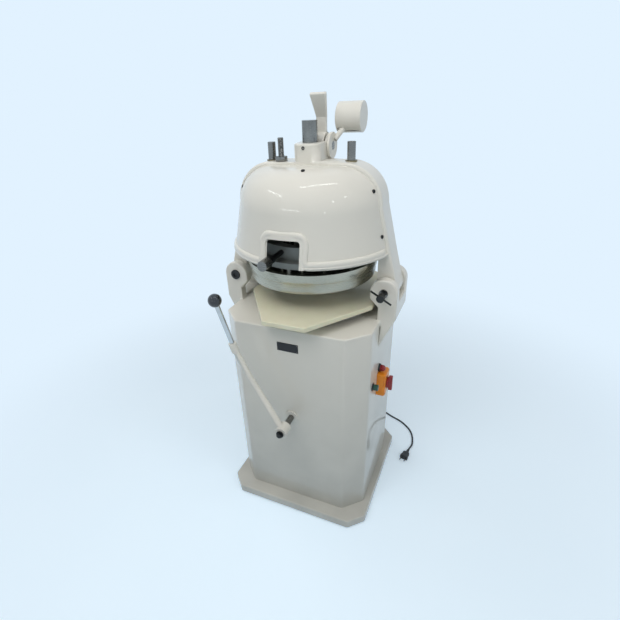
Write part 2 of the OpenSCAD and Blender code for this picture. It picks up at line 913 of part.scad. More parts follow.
module round_lever_rod() color(bright_steel)
  rod(socket_base + (socket_floor + clear) * socket_dir, swing_ball - rod_in_ball * socket_dir, swing_rod_d);

module ball_knob() color(black) difference() {
  translate(swing_ball) sphere(d = ball_d);
  rod(swing_ball - ball_d * socket_dir, swing_ball - (rod_in_ball - clear) * socket_dir,
    swing_rod_d + 2 * seat_gap);
}

// Controls on the cabinet wall
module switch_box() color(orange) difference() {
  union() {
    translate([cab_x, switch_y, switch_z]) rotate([90, 0, 90]) linear_extrude(switch_d - switch_lip)
      round_square(switch_w, switch_h, switch_corner);
    translate([cab_x + switch_d - switch_lip, switch_y, switch_z]) rotate([90, 0, 90])
      linear_extrude(switch_lip) round_square(switch_w - switch_lip, switch_h - switch_lip, switch_corner);
  }
  along_x([cab_x + switch_d - knob_stem_in - clear, switch_y, switch_z], knob_stem_in + over,
    knob_stem_d + 2 * run_gap);
}

module switch_knob() color(red) {
  face_x = cab_x + switch_d + clear;
  along_x([face_x - knob_stem_in, switch_y, switch_z], knob_stem_in, knob_stem_d);
  along_x([face_x, switch_y, switch_z], switch_knob_h, switch_knob_d);
  translate([face_x + switch_knob_h, switch_y - switch_bar_w / 2, switch_z - switch_bar_l / 2])
    cube([switch_bar_h, switch_bar_w, switch_bar_l]);
}

module start_button() color(green) {
  face_x = cab_x + button_travel + clear;
  along_x([face_x - button_stem_l, button_y, button_z], button_stem_l, button_stem_d);
  along_x([face_x, button_y, button_z], button_l, button_d);
}

module pilot_lamp() color(red) {
  along_x([cab_x - lamp_stem_l, lamp_y, lamp_z], lamp_stem_l, lamp_stem_d);
  along_x([cab_x, lamp_y, lamp_z], lamp_bezel_h, lamp_bezel_d);
  along_x([cab_x, lamp_y, lamp_z], lamp_l - lamp_d / 2, lamp_d);
  translate([cab_x + lamp_l - lamp_d / 2, lamp_y, lamp_z]) sphere(d = lamp_d);
}

module name_plate() color(black)
  translate([-name_w / 2, -cab_y - name_t, deck_z - name_drop - name_h / 2]) cube([name_w, name_t, name_h]);

// Cord, coil and plug
module cord_gland() color(black) {
  along_y([gland_x, cab_y - gland_stem_l, gland_z], gland_stem_l, gland_stem_d);
  along_y([gland_x, cab_y, gland_z], gland_nut_l, gland_nut_d);
  translate([gland_x, cab_y + gland_nut_l, gland_z]) rotate([-90, 0, 0])
    cylinder(h = gland_l, d1 = gland_taper_d, d2 = gland_tip_d);
}

function coil_radius(t) = t < coil_turns ? coil_out_r - coil_step * t
  : t < coil_turns + 0.5 ? coil_out_r - coil_step * coil_turns
  : coil_out_r - coil_step * (2 * coil_turns + 0.5 - t);
function coil_height(t) = coil_z + coil_layer * min(1, max(0, 2 * (t - coil_turns)));
function coil_point(t) = [coil_x + coil_radius(t) * cos(-90 - 360 * t),
  coil_y + coil_radius(t) * sin(-90 - 360 * t), coil_height(t)];
coil_path = concat([coil_point(0) + [cord_d, 0, 0]],
  [for (k = [0:coil_run * coil_rings]) coil_point(k / coil_rings)],
  [coil_point(coil_run) + [cord_d, 0, 0]]);

// Least gap between turns, measured on points at least half a turn apart
coil_gap = min([for (i = [0:len(coil_path) - 1], j = [i + coil_rings / 2:1:len(coil_path) - 1])
  norm(coil_path[i] - coil_path[j])]) - cord_d;
echo(coil_gap = coil_gap);

module cord_drop() color(black) tube(drop_points, cord_d, cord_sides);
module cord_coil() color(black) tube(coil_path, cord_d, coil_sides);
module cord_lead() color(black) tube(lead_points, cord_d, cord_sides);

lead_end = lead_points[len(lead_points) - 1];
lead_last = lead_end - lead_points[len(lead_points) - 2];

module plug() color(black)
  translate(lead_end) rotate([0, 0, atan2(lead_last[1], lead_last[0])]) {
    rotate([0, 90, 0]) cylinder(h = plug_neck_l, d = plug_neck_d);
    translate([plug_neck_l, 0, 0]) rotate([90, 0, 90]) linear_extrude(plug_l)
      round_square(plug_w, plug_h, plug_corner);
    for (side = [-1, 1]) translate([plug_neck_l + plug_l, side * plug_pin_gap / 2, 0]) rotate([0, 90, 0])
      cylinder(h = plug_pin_l, d = plug_pin_d);
  }

// Head: arch casting
module arch_half() {
  difference() {
    union() {
      polygon([[0, rim_z], [arch_rim_x, rim_z], [arch_wall_x, spring_z], [0, spring_z]]);
      translate([arch_flat_x, spring_z]) quarter(arch_arc_r);
      translate([0, spring_z]) square([arch_flat_x, arch_arc_r]);
      polygon([[leg_in_x, pivot_z], [pivot_x, pivot_z],
        [pivot_x + knuckle_r * cos(leg_slope), pivot_z + knuckle_r * sin(leg_slope)],
        [arch_rim_x, rim_z], [leg_in_x, rim_z]]);
    }
    polygon([[-over, rim_z - over], [leg_in_x, rim_z - over], [leg_in_x, rim_z], [arch_in_x, spring_z],
      [-over, spring_z]]);
    translate([arch_flat_x, spring_z]) quarter(arch_in_r);
    translate([-over, spring_z - over]) square([arch_flat_x + over, arch_in_r + over]);
  }
  translate([pivot_x, pivot_z]) circle(knuckle_r);
}

module boss_outline() {
  w = boss_x1 - boss_x0;
  d = boss_y1 + arch_y;
  translate([boss_x0 + w / 2, boss_y1 - d / 2]) round_square(w, d, boss_corner);
}

// Dome section right of its axis, moved out or in by off and reaching down below the rim by low
module dome_section(off, low) {
  polygon([[0, rim_z - low], [dome_rim_r + off + low * dome_taper / dome_wall_h, rim_z - low],
    [dome_wall_r + off, spring_z], [0, spring_z]]);
  translate([dome_flat_r, spring_z]) quarter(dome_arc_r + off);
  translate([0, spring_z]) square([dome_flat_r, dome_arc_r + off]);
}

module dome_body(off, low = 0) {
  translate([0, dome_back, 0]) rotate_extrude() dome_section(off, low);
}

module front_only(y) {
  translate([-2 * dome_rim_r, y - 2 * dome_rim_r, rim_z - dome_rim_r])
    cube([4 * dome_rim_r, 2 * dome_rim_r, 4 * dome_rim_r]);
}

// Ledge under the edge of a cover, which takes its screws
module cover_ledge(x, w, d) intersection() {
  difference() {
    dome_body(-dome_wall - clear);
    dome_body(-dome_wall - clear - ledge_t, over);
  }
  translate([x - w / 2, -arch_y - d, rim_z]) cube([w, d + over, dome_top]);
}

module front_and_back() {
  children();
  mirror([0, 1, 0]) children();
}

// Places of the cover screws: out along the dome's own normal
function arc_radius(lean) = dome_flat_r + dome_arc_r * cos(lean);
function arc_rise(lean) = spring_z + dome_arc_r * sin(lean);
module cover_screw_at(r, z, lean, side) {
  turn = asin((face_off + cover_screw_setback) / r);
  translate([0, dome_back, 0]) rotate([0, 0, side > 0 ? -turn : 180 + turn]) translate([r, 0, z])
    rotate([0, 90 - lean, 0]) children();
}

module cover_screw_places() {
  for (side = [-1, 1]) {
    cover_screw_at(dome_rim_r - wall_screw_rise_share * dome_taper,
      rim_z + wall_screw_rise_share * dome_wall_h, wall_lean, side) children();
    cover_screw_at(arc_radius(arc_screw_lean), arc_rise(arc_screw_lean), arc_screw_lean, side) children();
  }
}

module crown_screw_place() {
  translate([0, dome_back, 0]) rotate([0, 0, crown_screw_turn - 90])
    translate([arc_radius(crown_screw_lean), 0, arc_rise(crown_screw_lean)])
      rotate([0, 90 - crown_screw_lean, 0]) children();
}

module cover_screw_hole() {
  translate([0, 0, -cover_screw_l]) cylinder(h = 2 * cover_screw_l, d = cover_screw_d + 2 * seat_gap);
}

module head_frame() color(enamel) difference() {
  union() {
    stand_up(-arch_y, arch_y) both_sides() arch_half();
    translate([0, 0, boss_z]) linear_extrude(boss_top - boss_z) boss_outline();
    along_x([boss_x0, shaft_y, shaft_z], pocket_x0 - boss_x0, 2 * lobe_r);
    along_x([pocket_x1, shaft_y, shaft_z], boss_x1 - pocket_x1, 2 * lobe_r);
    front_and_back() cover_ledge(0, 4 * dome_rim_r, ledge_d);
    cover_ledge(arc_radius(crown_screw_lean) * sin(crown_screw_turn), crown_tongue_w, crown_tongue_l);
  }
  translate([pocket_x0, pocket_y0, pocket_floor])
    cube([pocket_x1 - pocket_x0, pocket_y1 - pocket_y0, boss_top]);
  along_z([0, 0, boss_z - over], boss_top, ram_d + 2 * run_gap);
  along_x([boss_x0 - over, shaft_y, shaft_z], boss_x1 - boss_x0 + 2 * over,
    shaft_d + 2 * lever_bush_wall + 2 * seat_gap);
  for (side = [-1, 1]) along_z([side * guide_span / 2, 0, arch_under - arch_t], 2 * arch_t + over,
    guide_d + 2 * guide_bush_wall + 2 * seat_gap);
  along_z([-stud_x, -stud_y, arch_under - over], arch_t + 2 * over, stud_d + 2 * seat_gap);
  along_y([-pivot_x, -arch_y - over, pivot_z], 2 * (arch_y + over),
    hinge_pin_d + 2 * bush_wall + 2 * seat_gap);
  front_and_back() cover_screw_places() cover_screw_hole();
  crown_screw_place() cover_screw_hole();
}

// Head: dome covers and their screws
module notch_block(w, h, r) {
  translate([-w / 2, rim_z - over]) square([w, h - r + over]);
  translate([-w / 2 + r, rim_z - over]) square([w - 2 * r, h + over]);
  for (side = [-1, 1]) translate([side * (w / 2 - r), rim_z + h - r]) circle(r);
}

module half_cover() {
  intersection() {
    union() {
      difference() {
        dome_body(0);
        dome_body(-dome_wall, over);
      }
      translate([0, dome_back, rim_z + bead_r]) rotate_extrude()
        translate([dome_rim_r - bead_set, 0]) circle(bead_r);
    }
    front_only(-arch_y);
  }
}

module front_cover() color(enamel) difference() {
  union() {
    half_cover();
    intersection() {
      difference() {
        dome_body(notch_bead_t);
        dome_body(-dome_wall / 2, over);
      }
      stand_up(-2 * dome_rim_r, -arch_y) notch_block(notch_w + 2 * notch_bead, notch_h + notch_bead,
        notch_corner + notch_bead);
    }
  }
  stand_up(-2 * dome_rim_r, -arch_y) notch_block(notch_w, notch_h, notch_corner);
  cover_screw_places() cover_screw_hole();
  crown_screw_place() cover_screw_hole();
}

module rear_cover() color(enamel) difference() {
  mirror([0, 1, 0]) difference() {
    half_cover();
    cover_screw_places() cover_screw_hole();
  }
  translate([0, 0, boss_z - over]) linear_extrude(boss_top) offset(delta = clear) boss_outline();
}

module cover_screw() {
  translate([0, 0, clear - cover_screw_l]) cylinder(h = cover_screw_l, d = cover_screw_d);
  translate([0, 0, clear]) cylinder(h = cover_screw_head_h, d = cover_screw_head_d);
}

module cover_screws() color(dark_steel) {
  front_and_back() cover_screw_places() cover_screw();
  crown_screw_place() cover_screw();
}

module guide_bushes() color(brass) for (side = [-1, 1])
  translate([side * guide_span / 2, 0, arch_under])
    sleeve(arch_t + bush_up, guide_d + 2 * guide_bush_wall, guide_d + 2 * run_gap);

module stop_screw() color(bright_steel) translate([-stud_x, -stud_y, 0]) {
  along_z([0, 0, cross_top + clear], arch_top + stud_rise - cross_top - clear, stud_d);
  translate([0, 0, arch_top]) difference() {
    cylinder(h = nut_h, d = nut_af / cos(30), $fn = 6);
    translate([0, 0, -over]) cylinder(h = nut_h + 2 * over, d = stud_d + 2 * seat_gap);
  }
}

module lever_bushes() color(brass) {
  translate([boss_x0, shaft_y, shaft_z]) rotate([0, 90, 0])
    sleeve(pocket_x0 - boss_x0, shaft_d + 2 * lever_bush_wall, shaft_d + 2 * run_gap);
  translate([pocket_x1, shaft_y, shaft_z]) rotate([0, 90, 0])
    sleeve(boss_x1 - pocket_x1, shaft_d + 2 * lever_bush_wall, shaft_d + 2 * run_gap);
}

module hinge_bush() color(brass)
  translate([-pivot_x, -arch_y, pivot_z]) rotate([-90, 0, 0])
    sleeve(2 * arch_y, hinge_pin_d + 2 * bush_wall, hinge_pin_d + 2 * run_gap);

module return_springs() color(bright_steel) for (side = [-1, 1])
  translate([side * stud_x, stud_y, cross_top + clear])
    sleeve(arch_under - cross_top - clear, 2 * spring_r, 2 * (spring_r - spring_wall));

// Head: lever, gear sector and counterweight
module sector_shaft() color(bright_steel)
  along_x([boss_x0 - shaft_end, shaft_y, shaft_z], disc_x + disc_t - boss_x0 + shaft_end, shaft_d);

function involute(a) = tan(a) * 180 / PI - a;
base_r = pitch_r * cos(pressure_angle);
tooth_half = 90 / gear_teeth - backlash / 2 / pitch_r * 180 / PI;
function flank(r) = tooth_half + involute(pressure_angle) - involute(acos(min(1, base_r / r)));
tooth_steps = 4;
tooth_low_r = root_r - gear_module / 4;
tooth_radii = [for (k = [0:tooth_steps]) tooth_low_r + k * (tip_r - tooth_low_r) / tooth_steps];
sector_teeth = floor((180 + sector_low - sector_high) * gear_teeth / 360);

module sector_tooth() {
  polygon(concat([for (r = tooth_radii) r * [cos(flank(r)), sin(flank(r))]],
    [for (k = [tooth_steps:-1:0]) let (r = tooth_radii[k]) r * [cos(flank(r)), -sin(flank(r))]]));
}

module sector_area() {
  difference() {
    union() {
      circle(sector_hub_r);
      intersection() {
        circle(root_r);
        polygon([[0, 0], 2 * root_r * [cos(sector_high), sin(sector_high)], 2 * root_r * [-1, 1],
          2 * root_r * [cos(180 + sector_low), sin(180 + sector_low)]]);
      }
      for (k = [-1:sector_teeth - 2]) rotate(180 - k * 360 / gear_teeth) sector_tooth();
    }
    circle(d = shaft_d + 2 * seat_gap);
  }
}

module gear_sector() color(cast_grey)
  translate([0, shaft_y, shaft_z]) run_across(sector_x, sector_x + sector_t) sector_area();

// Side view of the bent lever bar, above the shaft
module lever_side() {
  half = lever_t / 2;
  mitre = half * tan(paddle_lean / 2);
  tip = [-paddle_l * sin(paddle_lean), lever_bend_h + paddle_l * cos(paddle_lean)];
  across = half * [cos(paddle_lean), sin(paddle_lean)];
  polygon([[-half, lever_root], [half, lever_root], [half, lever_bend_h + mitre], tip + across, tip - across,
    [-half, lever_bend_h - mitre]]);
}

// Front view of the bar with its flared end
module lever_front() {
  rise = paddle_l * cos(paddle_lean);
  flare = (paddle_w - lever_w) / 2 / rise;
  high = rise + lever_t;
  polygon([[-lever_w / 2, 0], [lever_w / 2, 0], [lever_w / 2, lever_bend_h],
    [lever_w / 2 + flare * high, lever_bend_h + high], [-lever_w / 2 - flare * high, lever_bend_h + high],
    [-lever_w / 2, lever_bend_h]]);
}

module press_lever() color(enamel) difference() {
  union() {
    along_x([hub_x, shaft_y, shaft_z], hub_l, hub_d);
    translate([hub_x + hub_side + lever_w / 2, shaft_y, shaft_z]) intersection() {
      run_across(-paddle_w, paddle_w) lever_side();
      stand_up(-paddle_l, paddle_l) lever_front();
    }
  }
  along_x([hub_x - over, shaft_y, shaft_z], hub_l + 2 * over, shaft_d + 2 * seat_gap);
}

weight_reach = norm([weight_dy, weight_dz]);
arm_from = [disc_x + disc_t + arm_lift, shaft_y + arm_start_r * weight_dy / weight_reach,
  shaft_z + arm_start_r * weight_dz / weight_reach];
weight_at = [weight_x + weight_l / 2, shaft_y + weight_dy, shaft_z + weight_dz];
arm_to = weight_at - weight_seat * unit(weight_at - arm_from);

module weight_arm() color(enamel) difference() {
  union() {
    along_x([disc_x, shaft_y, shaft_z], disc_t, disc_d);
    rod(arm_from, arm_to, arm_d);
  }
  along_x([disc_x - over, shaft_y, shaft_z], disc_t + 2 * over, shaft_d + 2 * seat_gap);
}

module counterweight() color(enamel) difference() {
  along_x([weight_x, weight_at[1], weight_at[2]], weight_l, weight_d);
  rod(arm_from, arm_to + clear * unit(arm_to - arm_from), arm_d + 2 * seat_gap);
}

// Head: ram with its crosshead and press pieces
rack_z0 = shaft_z - tip_r * sin(sector_low) - rack_low;
rack_spaces = floor((ram_top - shaft_z) / tooth_pitch);

module rack_space() {
  half = tooth_pitch / 4 + backlash / 2;
  lean = tan(pressure_angle);
  low = root_share * gear_module;
  high = gear_module + over;
  polygon([[rack_offset - low, -half + low * lean], [rack_offset + high, -half - high * lean],
    [rack_offset + high, half + high * lean], [rack_offset - low, half - low * lean]]);
}

module ram_rack() color(bright_steel) difference() {
  along_z([0, 0, cross_z], ram_top - cross_z, ram_d);
  translate([-ram_d, rack_offset + gear_module, rack_z0]) cube([2 * ram_d, ram_d, ram_top]);
  for (k = [-1:rack_spaces + 1])
    translate([0, 0, shaft_z + k * tooth_pitch]) run_across(-ram_d, ram_d) rack_space();
}

module knife_post_places() {
  for (k = [0:3]) rotate([0, 0, 45 + 90 * k]) translate([knife_zone_r[1], 0, 0]) children();
}

module crosshead() color(cast_grey) difference() {
  union() {
    along_z([0, 0, cross_z], cross_t, 2 * cross_r);
    along_z([0, 0, cross_top], ram_hub_h, ram_hub_d);
    translate([0, 0, cross_top]) sleeve(spigot_h, 2 * (lock_in_r - run_gap), 2 * (lock_in_r - spigot_w));
  }
  along_z([0, 0, cross_z - over], cross_t + ram_hub_h + 2 * over, ram_d + 2 * seat_gap);
  for (side = [-1, 1])
    along_z([side * guide_span / 2, 0, cross_z - over], cross_t + 2 * over, guide_d + 2 * seat_gap);
  knife_post_places() along_z([0, 0, cross_z - over], cross_t + 2 * over, knife_post_d + 2 * run_gap);
}

module guide_rods() color(bright_steel) for (side = [-1, 1])
  along_z([side * guide_span / 2, 0, cross_z], arch_top + boss_rise + bush_up - cross_z, guide_d);

module press_ring() color(aluminium) rotate_extrude() {
  r1 = ring_in_r + ring_wall;
  r2 = r1 + ring_step;
  polygon([[ring_in_r, ring_z], [r1, ring_z], [r2, ring_z + ring_low_shares[0] * ring_h],
    [r2, ring_z + ring_low_shares[1] * ring_h], [r2 + ring_flare / 2, ring_z + ring_low_shares[2] * ring_h],
    [ring_top_r, ring_z + ring_low_shares[3] * ring_h], [ring_top_r, ring_top],
    [ring_in_r - ring_flange_w, ring_top], [ring_in_r - ring_flange_w, ring_top - ring_flange_t],
    [ring_in_r, ring_top - ring_flange_t]]);
}

module ring_posts() color(bright_steel)
  for (k = [0:post_count - 1]) rotate([0, 0, (k + 0.5) * 360 / post_count])
    along_z([post_r, 0, ring_top], post_h, post_d);

// Cells of one knife zone: a band cut by its radial knives
module zone_band(zone, side) {
  r_in = zone == 0 ? 0 : knife_zone_r[zone] + knife_t / 2 + side;
  r_out = zone == 2 ? press_r : knife_zone_r[zone + 1] - knife_t / 2 - side;
  difference() {
    circle(r_out);
    if (zone > 0) circle(r_in);
    for (k = [0:knife_counts[zone] - 1]) rotate(k * 360 / knife_counts[zone])
      translate([0, -knife_t / 2 - side]) square([r_out + over, knife_t + 2 * side]);
  }
}

function stem_r(zone) = zone == 0 ? knife_zone_r[1] / 2 : (knife_zone_r[zone] + knife_zone_r[zone + 1]) / 2;

module press_plates() color(aluminium) for (zone = [0:2]) {
  difference() {
    translate([0, 0, press_z]) linear_extrude(press_t) zone_band(zone, press_side);
    knife_post_places()
      along_z([0, 0, press_z - over], press_t + 2 * over, knife_post_d + 2 * knife_post_gap);
  }
  for (k = [0:knife_counts[zone] - 1]) rotate([0, 0, (k + 0.5) * 360 / knife_counts[zone]])
    along_z([stem_r(zone), 0, press_z + press_t / 2], cross_z - press_z - press_t / 2, stem_d);
}

module knife_grid() color(bright_steel) {
  translate([0, 0, knife_z]) linear_extrude(knife_h) {
    for (zone = [1, 2]) difference() {
      circle(knife_zone_r[zone] + knife_t / 2);
      circle(knife_zone_r[zone] - knife_t / 2);
    }
    for (zone = [0:2], k = [0:knife_counts[zone] - 1]) rotate(k * 360 / knife_counts[zone])
      translate([knife_zone_r[zone], -knife_t / 2])
        square([knife_zone_r[zone + 1] - knife_zone_r[zone], knife_t]);
  }
  knife_post_places() along_z([0, 0, knife_z], carrier_z + carrier_t - knife_z, knife_post_d);
  translate([0, 0, carrier_z])
    sleeve(carrier_t, 2 * (knife_zone_r[1] + carrier_w), 2 * (knife_zone_r[1] - carrier_w));
}

// Head: lock ring and its handle
handle_y = -sqrt(lock_out_r * lock_out_r - handle_x * handle_x);
handle_z = lock_z + handle_rise;

module lock_ring() color(cast_grey) difference() {
  translate([0, 0, lock_z]) sleeve(lock_h, 2 * lock_out_r, 2 * lock_in_r);
  along_y([handle_x, handle_y - over, handle_z], handle_seat + over, handle_d + 2 * seat_gap);
}

module lock_handle() color(dark_steel) {
  along_y([handle_x, handle_y - handle_l, handle_z], handle_l + handle_seat - clear, handle_d);
  along_y([handle_x, handle_y - handle_l, handle_z], collar_l, collar_d);
}

module lock_knob() color(bright_steel)
  along_y([handle_x, handle_y - handle_l - knob_l, handle_z], knob_l, knob_d);

base_plate();
cabinet_shell();
rear_panel();
rear_panel_screws();
body_casting();
hinge_pin();
lock_bush();
lever_bush();
bearing_housing();
deck_bearings();
motor();
motor_bracket();
drive_belt();
switch_box();
pilot_lamp();
name_plate();
cord_gland();
cord_drop();
cord_coil();
cord_lead();
plug();
head_frame();
front_cover();
rear_cover();
cover_screws();
guide_bushes();
stop_screw();
lever_bushes();
hinge_bush();
return_springs();
sector_shaft();
gear_sector();
press_lever();
weight_arm();
counterweight();
ram_rack();
crosshead();
guide_rods();
press_ring();
ring_posts();
press_plates();
knife_grid();
lock_ring();
lock_handle();
lock_knob();
crank_shaft();
drive_pulley();
rounding_table();
dough_plate();
idler_crank_1();
idler_crank_2();
idler_crank_3();
motor_pulley();
round_lever_shaft();
round_lever_arm();
round_lever_rod();
ball_knob();
lock_screw();
switch_knob();
start_button();
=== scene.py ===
import json
import math

import bmesh
import bpy
from bpy.props import FloatProperty, FloatVectorProperty, IntProperty, PointerProperty
from mathutils import Matrix, Vector


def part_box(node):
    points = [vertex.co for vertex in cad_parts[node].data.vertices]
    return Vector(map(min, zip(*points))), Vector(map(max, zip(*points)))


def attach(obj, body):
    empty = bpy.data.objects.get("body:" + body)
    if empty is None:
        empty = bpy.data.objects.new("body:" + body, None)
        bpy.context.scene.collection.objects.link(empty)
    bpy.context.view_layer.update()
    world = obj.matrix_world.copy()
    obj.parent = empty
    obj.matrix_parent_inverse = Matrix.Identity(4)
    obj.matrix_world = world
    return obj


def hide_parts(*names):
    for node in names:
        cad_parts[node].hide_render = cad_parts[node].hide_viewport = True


bl_info = {
    "name": "Dough divider rounder",
    "version": (1, 0, 0),
    "blender": (4, 5, 0),
    "location": "3D View > Sidebar > Rounder",
    "description": "Dresses the divider rounder with finishes, soft castings, fittings, cord and studio",
    "category": "Object",
}

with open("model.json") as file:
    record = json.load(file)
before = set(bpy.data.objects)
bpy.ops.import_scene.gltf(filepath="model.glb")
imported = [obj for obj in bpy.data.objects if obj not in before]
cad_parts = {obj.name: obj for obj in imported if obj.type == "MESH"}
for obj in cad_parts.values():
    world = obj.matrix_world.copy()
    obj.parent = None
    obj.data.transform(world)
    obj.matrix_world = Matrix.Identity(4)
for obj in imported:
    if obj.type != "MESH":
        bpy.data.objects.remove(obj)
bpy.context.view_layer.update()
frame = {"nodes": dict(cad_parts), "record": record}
cad = frame["nodes"]
body_of_node = {node: body for body, members in frame["record"]["behaviour"]["bodies"].items()
                for node in members}
# Materials by material slot, filled by the finishes operator
FINISHES = {}

# Film of the camera in millimetres, then focal length, picture and middle of the picture in pixels
FILM_WIDTH = 36
FOCAL_PIXELS = 419.2
PICTURE_PIXELS = 620
CENTRE_PIXEL = (291.6, 336.2)

# Crown of the arch and flat top of its boss in metres, repeated from the source of the solids
ARCH_TOP = 1.251
BOSS_TOP = 1.3
# Cut corners of the cabinet and thickness of its sheet in millimetres
CABINET_CUT = 66
CABINET_SHEET = 3
# Edges that turn by more than this many degrees are rounded and shaded as edges
SHARP_EDGE = 30


# Small helpers

def mm(size):
    """Metres from millimetres."""
    return size / 1000


def per_mm(size):
    """Texture scale, in features a metre, of a pattern that repeats every so many millimetres."""
    return 1000 / size


def linear(code):
    """Linear colour, with full alpha, from an sRGB hex value."""
    shares = [int(code[at:at + 2], 16) / 255 for at in (1, 3, 5)]
    return tuple(s / 12.92 if s <= 0.04045 else ((s + 0.055) / 1.055) ** 2.4 for s in shares) + (1.0,)


def add(tree, kind, settings=None, links=None):
    """Adds a node, sets its options and sockets, and links its inputs."""
    node = tree.nodes.new(kind)
    for key, value in (settings or {}).items():
        if isinstance(key, str) and hasattr(node, key):
            setattr(node, key, value)
        else:
            node.inputs[key].default_value = value
    for key, source in (links or {}).items():
        tree.links.new(source, node.inputs[key])
    return node


def blank_material(name):
    """An empty node material, its tree and its object coordinates."""
    material = bpy.data.materials.new(name)
    material.use_nodes = True
    tree = material.node_tree
    tree.nodes.clear()
    return material, tree, add(tree, "ShaderNodeTexCoord").outputs["Object"]


def facing(point, direction):
    """Matrix that carries a shape made round Z to a point, with its Z along a direction."""
    turn = Vector(direction).to_track_quat("Z", "Y").to_matrix().to_4x4()
    return Matrix.Translation(point) @ turn


def turned(outline, place, steps=48):
    """A turned shape: an outline of radius and height, spun round Z and carried to its place."""
    shape = bmesh.new()
    line = [shape.verts.new((radius, 0, height)) for radius, height in outline]
    edges = [shape.edges.new(pair) for pair in zip(line, line[1:])]
    bmesh.ops.spin(shape, geom=line + edges, cent=(0, 0, 0), axis=(0, 0, 1), angle=math.tau,
                   steps=steps, use_merge=True)
    bmesh.ops.remove_doubles(shape, verts=shape.verts, dist=mm(0.005))
    bmesh.ops.recalc_face_normals(shape, faces=shape.faces)
    bmesh.ops.transform(shape, matrix=place, verts=shape.verts)
    return shape


def turned_mm(outline, place, steps=48):
    """A turned shape whose outline is in millimetres."""
    return turned([(mm(radius), mm(height)) for radius, height in outline], place, steps)


def rounded(shape, geom, size, segments, affect="EDGES"):
    """Rounds edges or corners of a shape, or cuts them off where segments is 1."""
    bmesh.ops.bevel(shape, geom=geom, offset=size, offset_type="OFFSET", segments=segments, profile=0.5,
                    affect=affect, material=-1)


def cuboid(size):
    """A sharp box of that size round the origin, to be shaped further."""
    shape = bmesh.new()
    bmesh.ops.create_cube(shape, size=1)
    bmesh.ops.scale(shape, vec=size, verts=shape.verts)
    return shape


def block(size, edge, place):
    """A box of that size with rounded edges, carried to its place."""
    shape = cuboid(size)
    rounded(shape, shape.edges, edge, 3)
    bmesh.ops.transform(shape, matrix=place, verts=shape.verts)
    return shape


def hexagon(across, height, edge, place):
    """A six-sided nut body with rounded edges, standing on its place."""
    shape = bmesh.new()
    radius = across / 2 / math.cos(math.pi / 6)
    bmesh.ops.create_cone(shape, cap_ends=True, segments=6, radius1=radius, radius2=radius, depth=height)
    rounded(shape, shape.edges, edge, 2)
    bmesh.ops.translate(shape, vec=(0, 0, height / 2), verts=shape.verts)
    bmesh.ops.transform(shape, matrix=place, verts=shape.verts)
    return shape


def joined(shapes):
    """One shape from several."""
    whole = shapes[0]
    for shape in shapes[1:]:
        mesh = bpy.data.meshes.new("joining")
        shape.to_mesh(mesh)
        shape.free()
        whole.from_mesh(mesh)
        bpy.data.meshes.remove(mesh)
    return whole


def piece(name, shape, body, slot, replaced=(), finish=None, sharp=32):
    """Makes a shape a piece at the origin that rides on a body and wears its slot's finish, or another."""
    mesh = bpy.data.meshes.new(name)
    shape.to_mesh(mesh)
    shape.free()
    mesh.shade_smooth()
    mesh.set_sharp_from_angle(angle=math.radians(sharp))
    mesh.materials.append(finish or FINISHES[slot])
    made = bpy.data.objects.new(name, mesh)
    bpy.context.scene.collection.objects.link(made)
    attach(made, body)
    if replaced:
        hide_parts(*replaced)
    return made


def merged_copy(node):
    """A merged copy of a CAD node, with its flat faces in one."""
    shape = bmesh.new()
    shape.from_mesh(cad[node].data)
    bmesh.ops.remove_doubles(shape, verts=shape.verts, dist=mm(0.01))
    bmesh.ops.dissolve_limit(shape, angle_limit=math.radians(0.3), verts=shape.verts, edges=shape.edges)
    return shape


def softened(node, name, slot, edge_sizes, miter="MITER_ARC"):
    """Replaces a CAD node by a copy whose sharp edges are rounded.

    edge_sizes takes an edge, its middle and its two face normals, and gives the edge's rounding.
    """
    shape = merged_copy(node)
    weights = shape.edges.layers.float.new("bevel_weight_edge")
    chosen = [(edge, edge_sizes(edge, (edge.verts[0].co + edge.verts[1].co) / 2,
                                [face.normal for face in edge.link_faces]))
              for edge in shape.edges
              if len(edge.link_faces) == 2 and edge.calc_face_angle() > math.radians(SHARP_EDGE)]
    widest = max(size for edge, size in chosen)
    for edge, size in chosen:
        edge[weights] = size / widest
    made = piece(name, shape, body_of_node[node], slot, (node,), sharp=SHARP_EDGE)
    rounding = made.modifiers.new("Rounded edges", "BEVEL")
    rounding.width = widest
    rounding.segments = 4
    rounding.limit_method = "WEIGHT"
    rounding.use_clamp_overlap = False
    rounding.harden_normals = True
    rounding.miter_outer = miter


def every_edge(rounding):
    """The same rounding on every edge, for softened."""
    return lambda edge, middle, normals: rounding


def outer_edges(rounding):
    """The same rounding on every outer edge, and none on an inner one, for softened."""
    return lambda edge, middle, normals: rounding if edge.is_convex else 0


# Dome covers: section, front notch and seam in millimetres, repeated from the source of the solids
DOME_LOW = 995
DOME_BACK = 30
DOME_RIM = 269
DOME_TAPER = 32
DOME_WALL = 138
DOME_ARC = 110
NOTCH_HALF = 54
NOTCH_RISE = 78
NOTCH_CORNER = 12
SEAM = 44
# Angle round the shoulder up to which some of the wall's lean is left, then the angle from the dome's own
# normal within which a face counts as skin
LEAN_END = math.radians(40)
SKIN_ANGLE = math.radians(9)
# Section of a cover's rolled edge: distance in from its middle line and height over the sheet
ROLL = ((14, -2), (13, 0.1), (10, 1.2), (7, 2.7), (4, 4.2), (1, 5.2), (-2, 5.7), (-5, 5.5), (-8, 4.4),
        (-10.2, 2.6), (-11.5, 0.2), (-11.4, -2.6), (-10, -4.8), (-7, -5.8), (-3, -5.4))
# Middle line of the rolled edge: how far in from the rim, its radius there, and its bend into the notch
ROLL_IN = 11
ROLL_RADIUS = DOME_RIM - DOME_TAPER * ROLL_IN / DOME_WALL
ROLL_BEND = 14
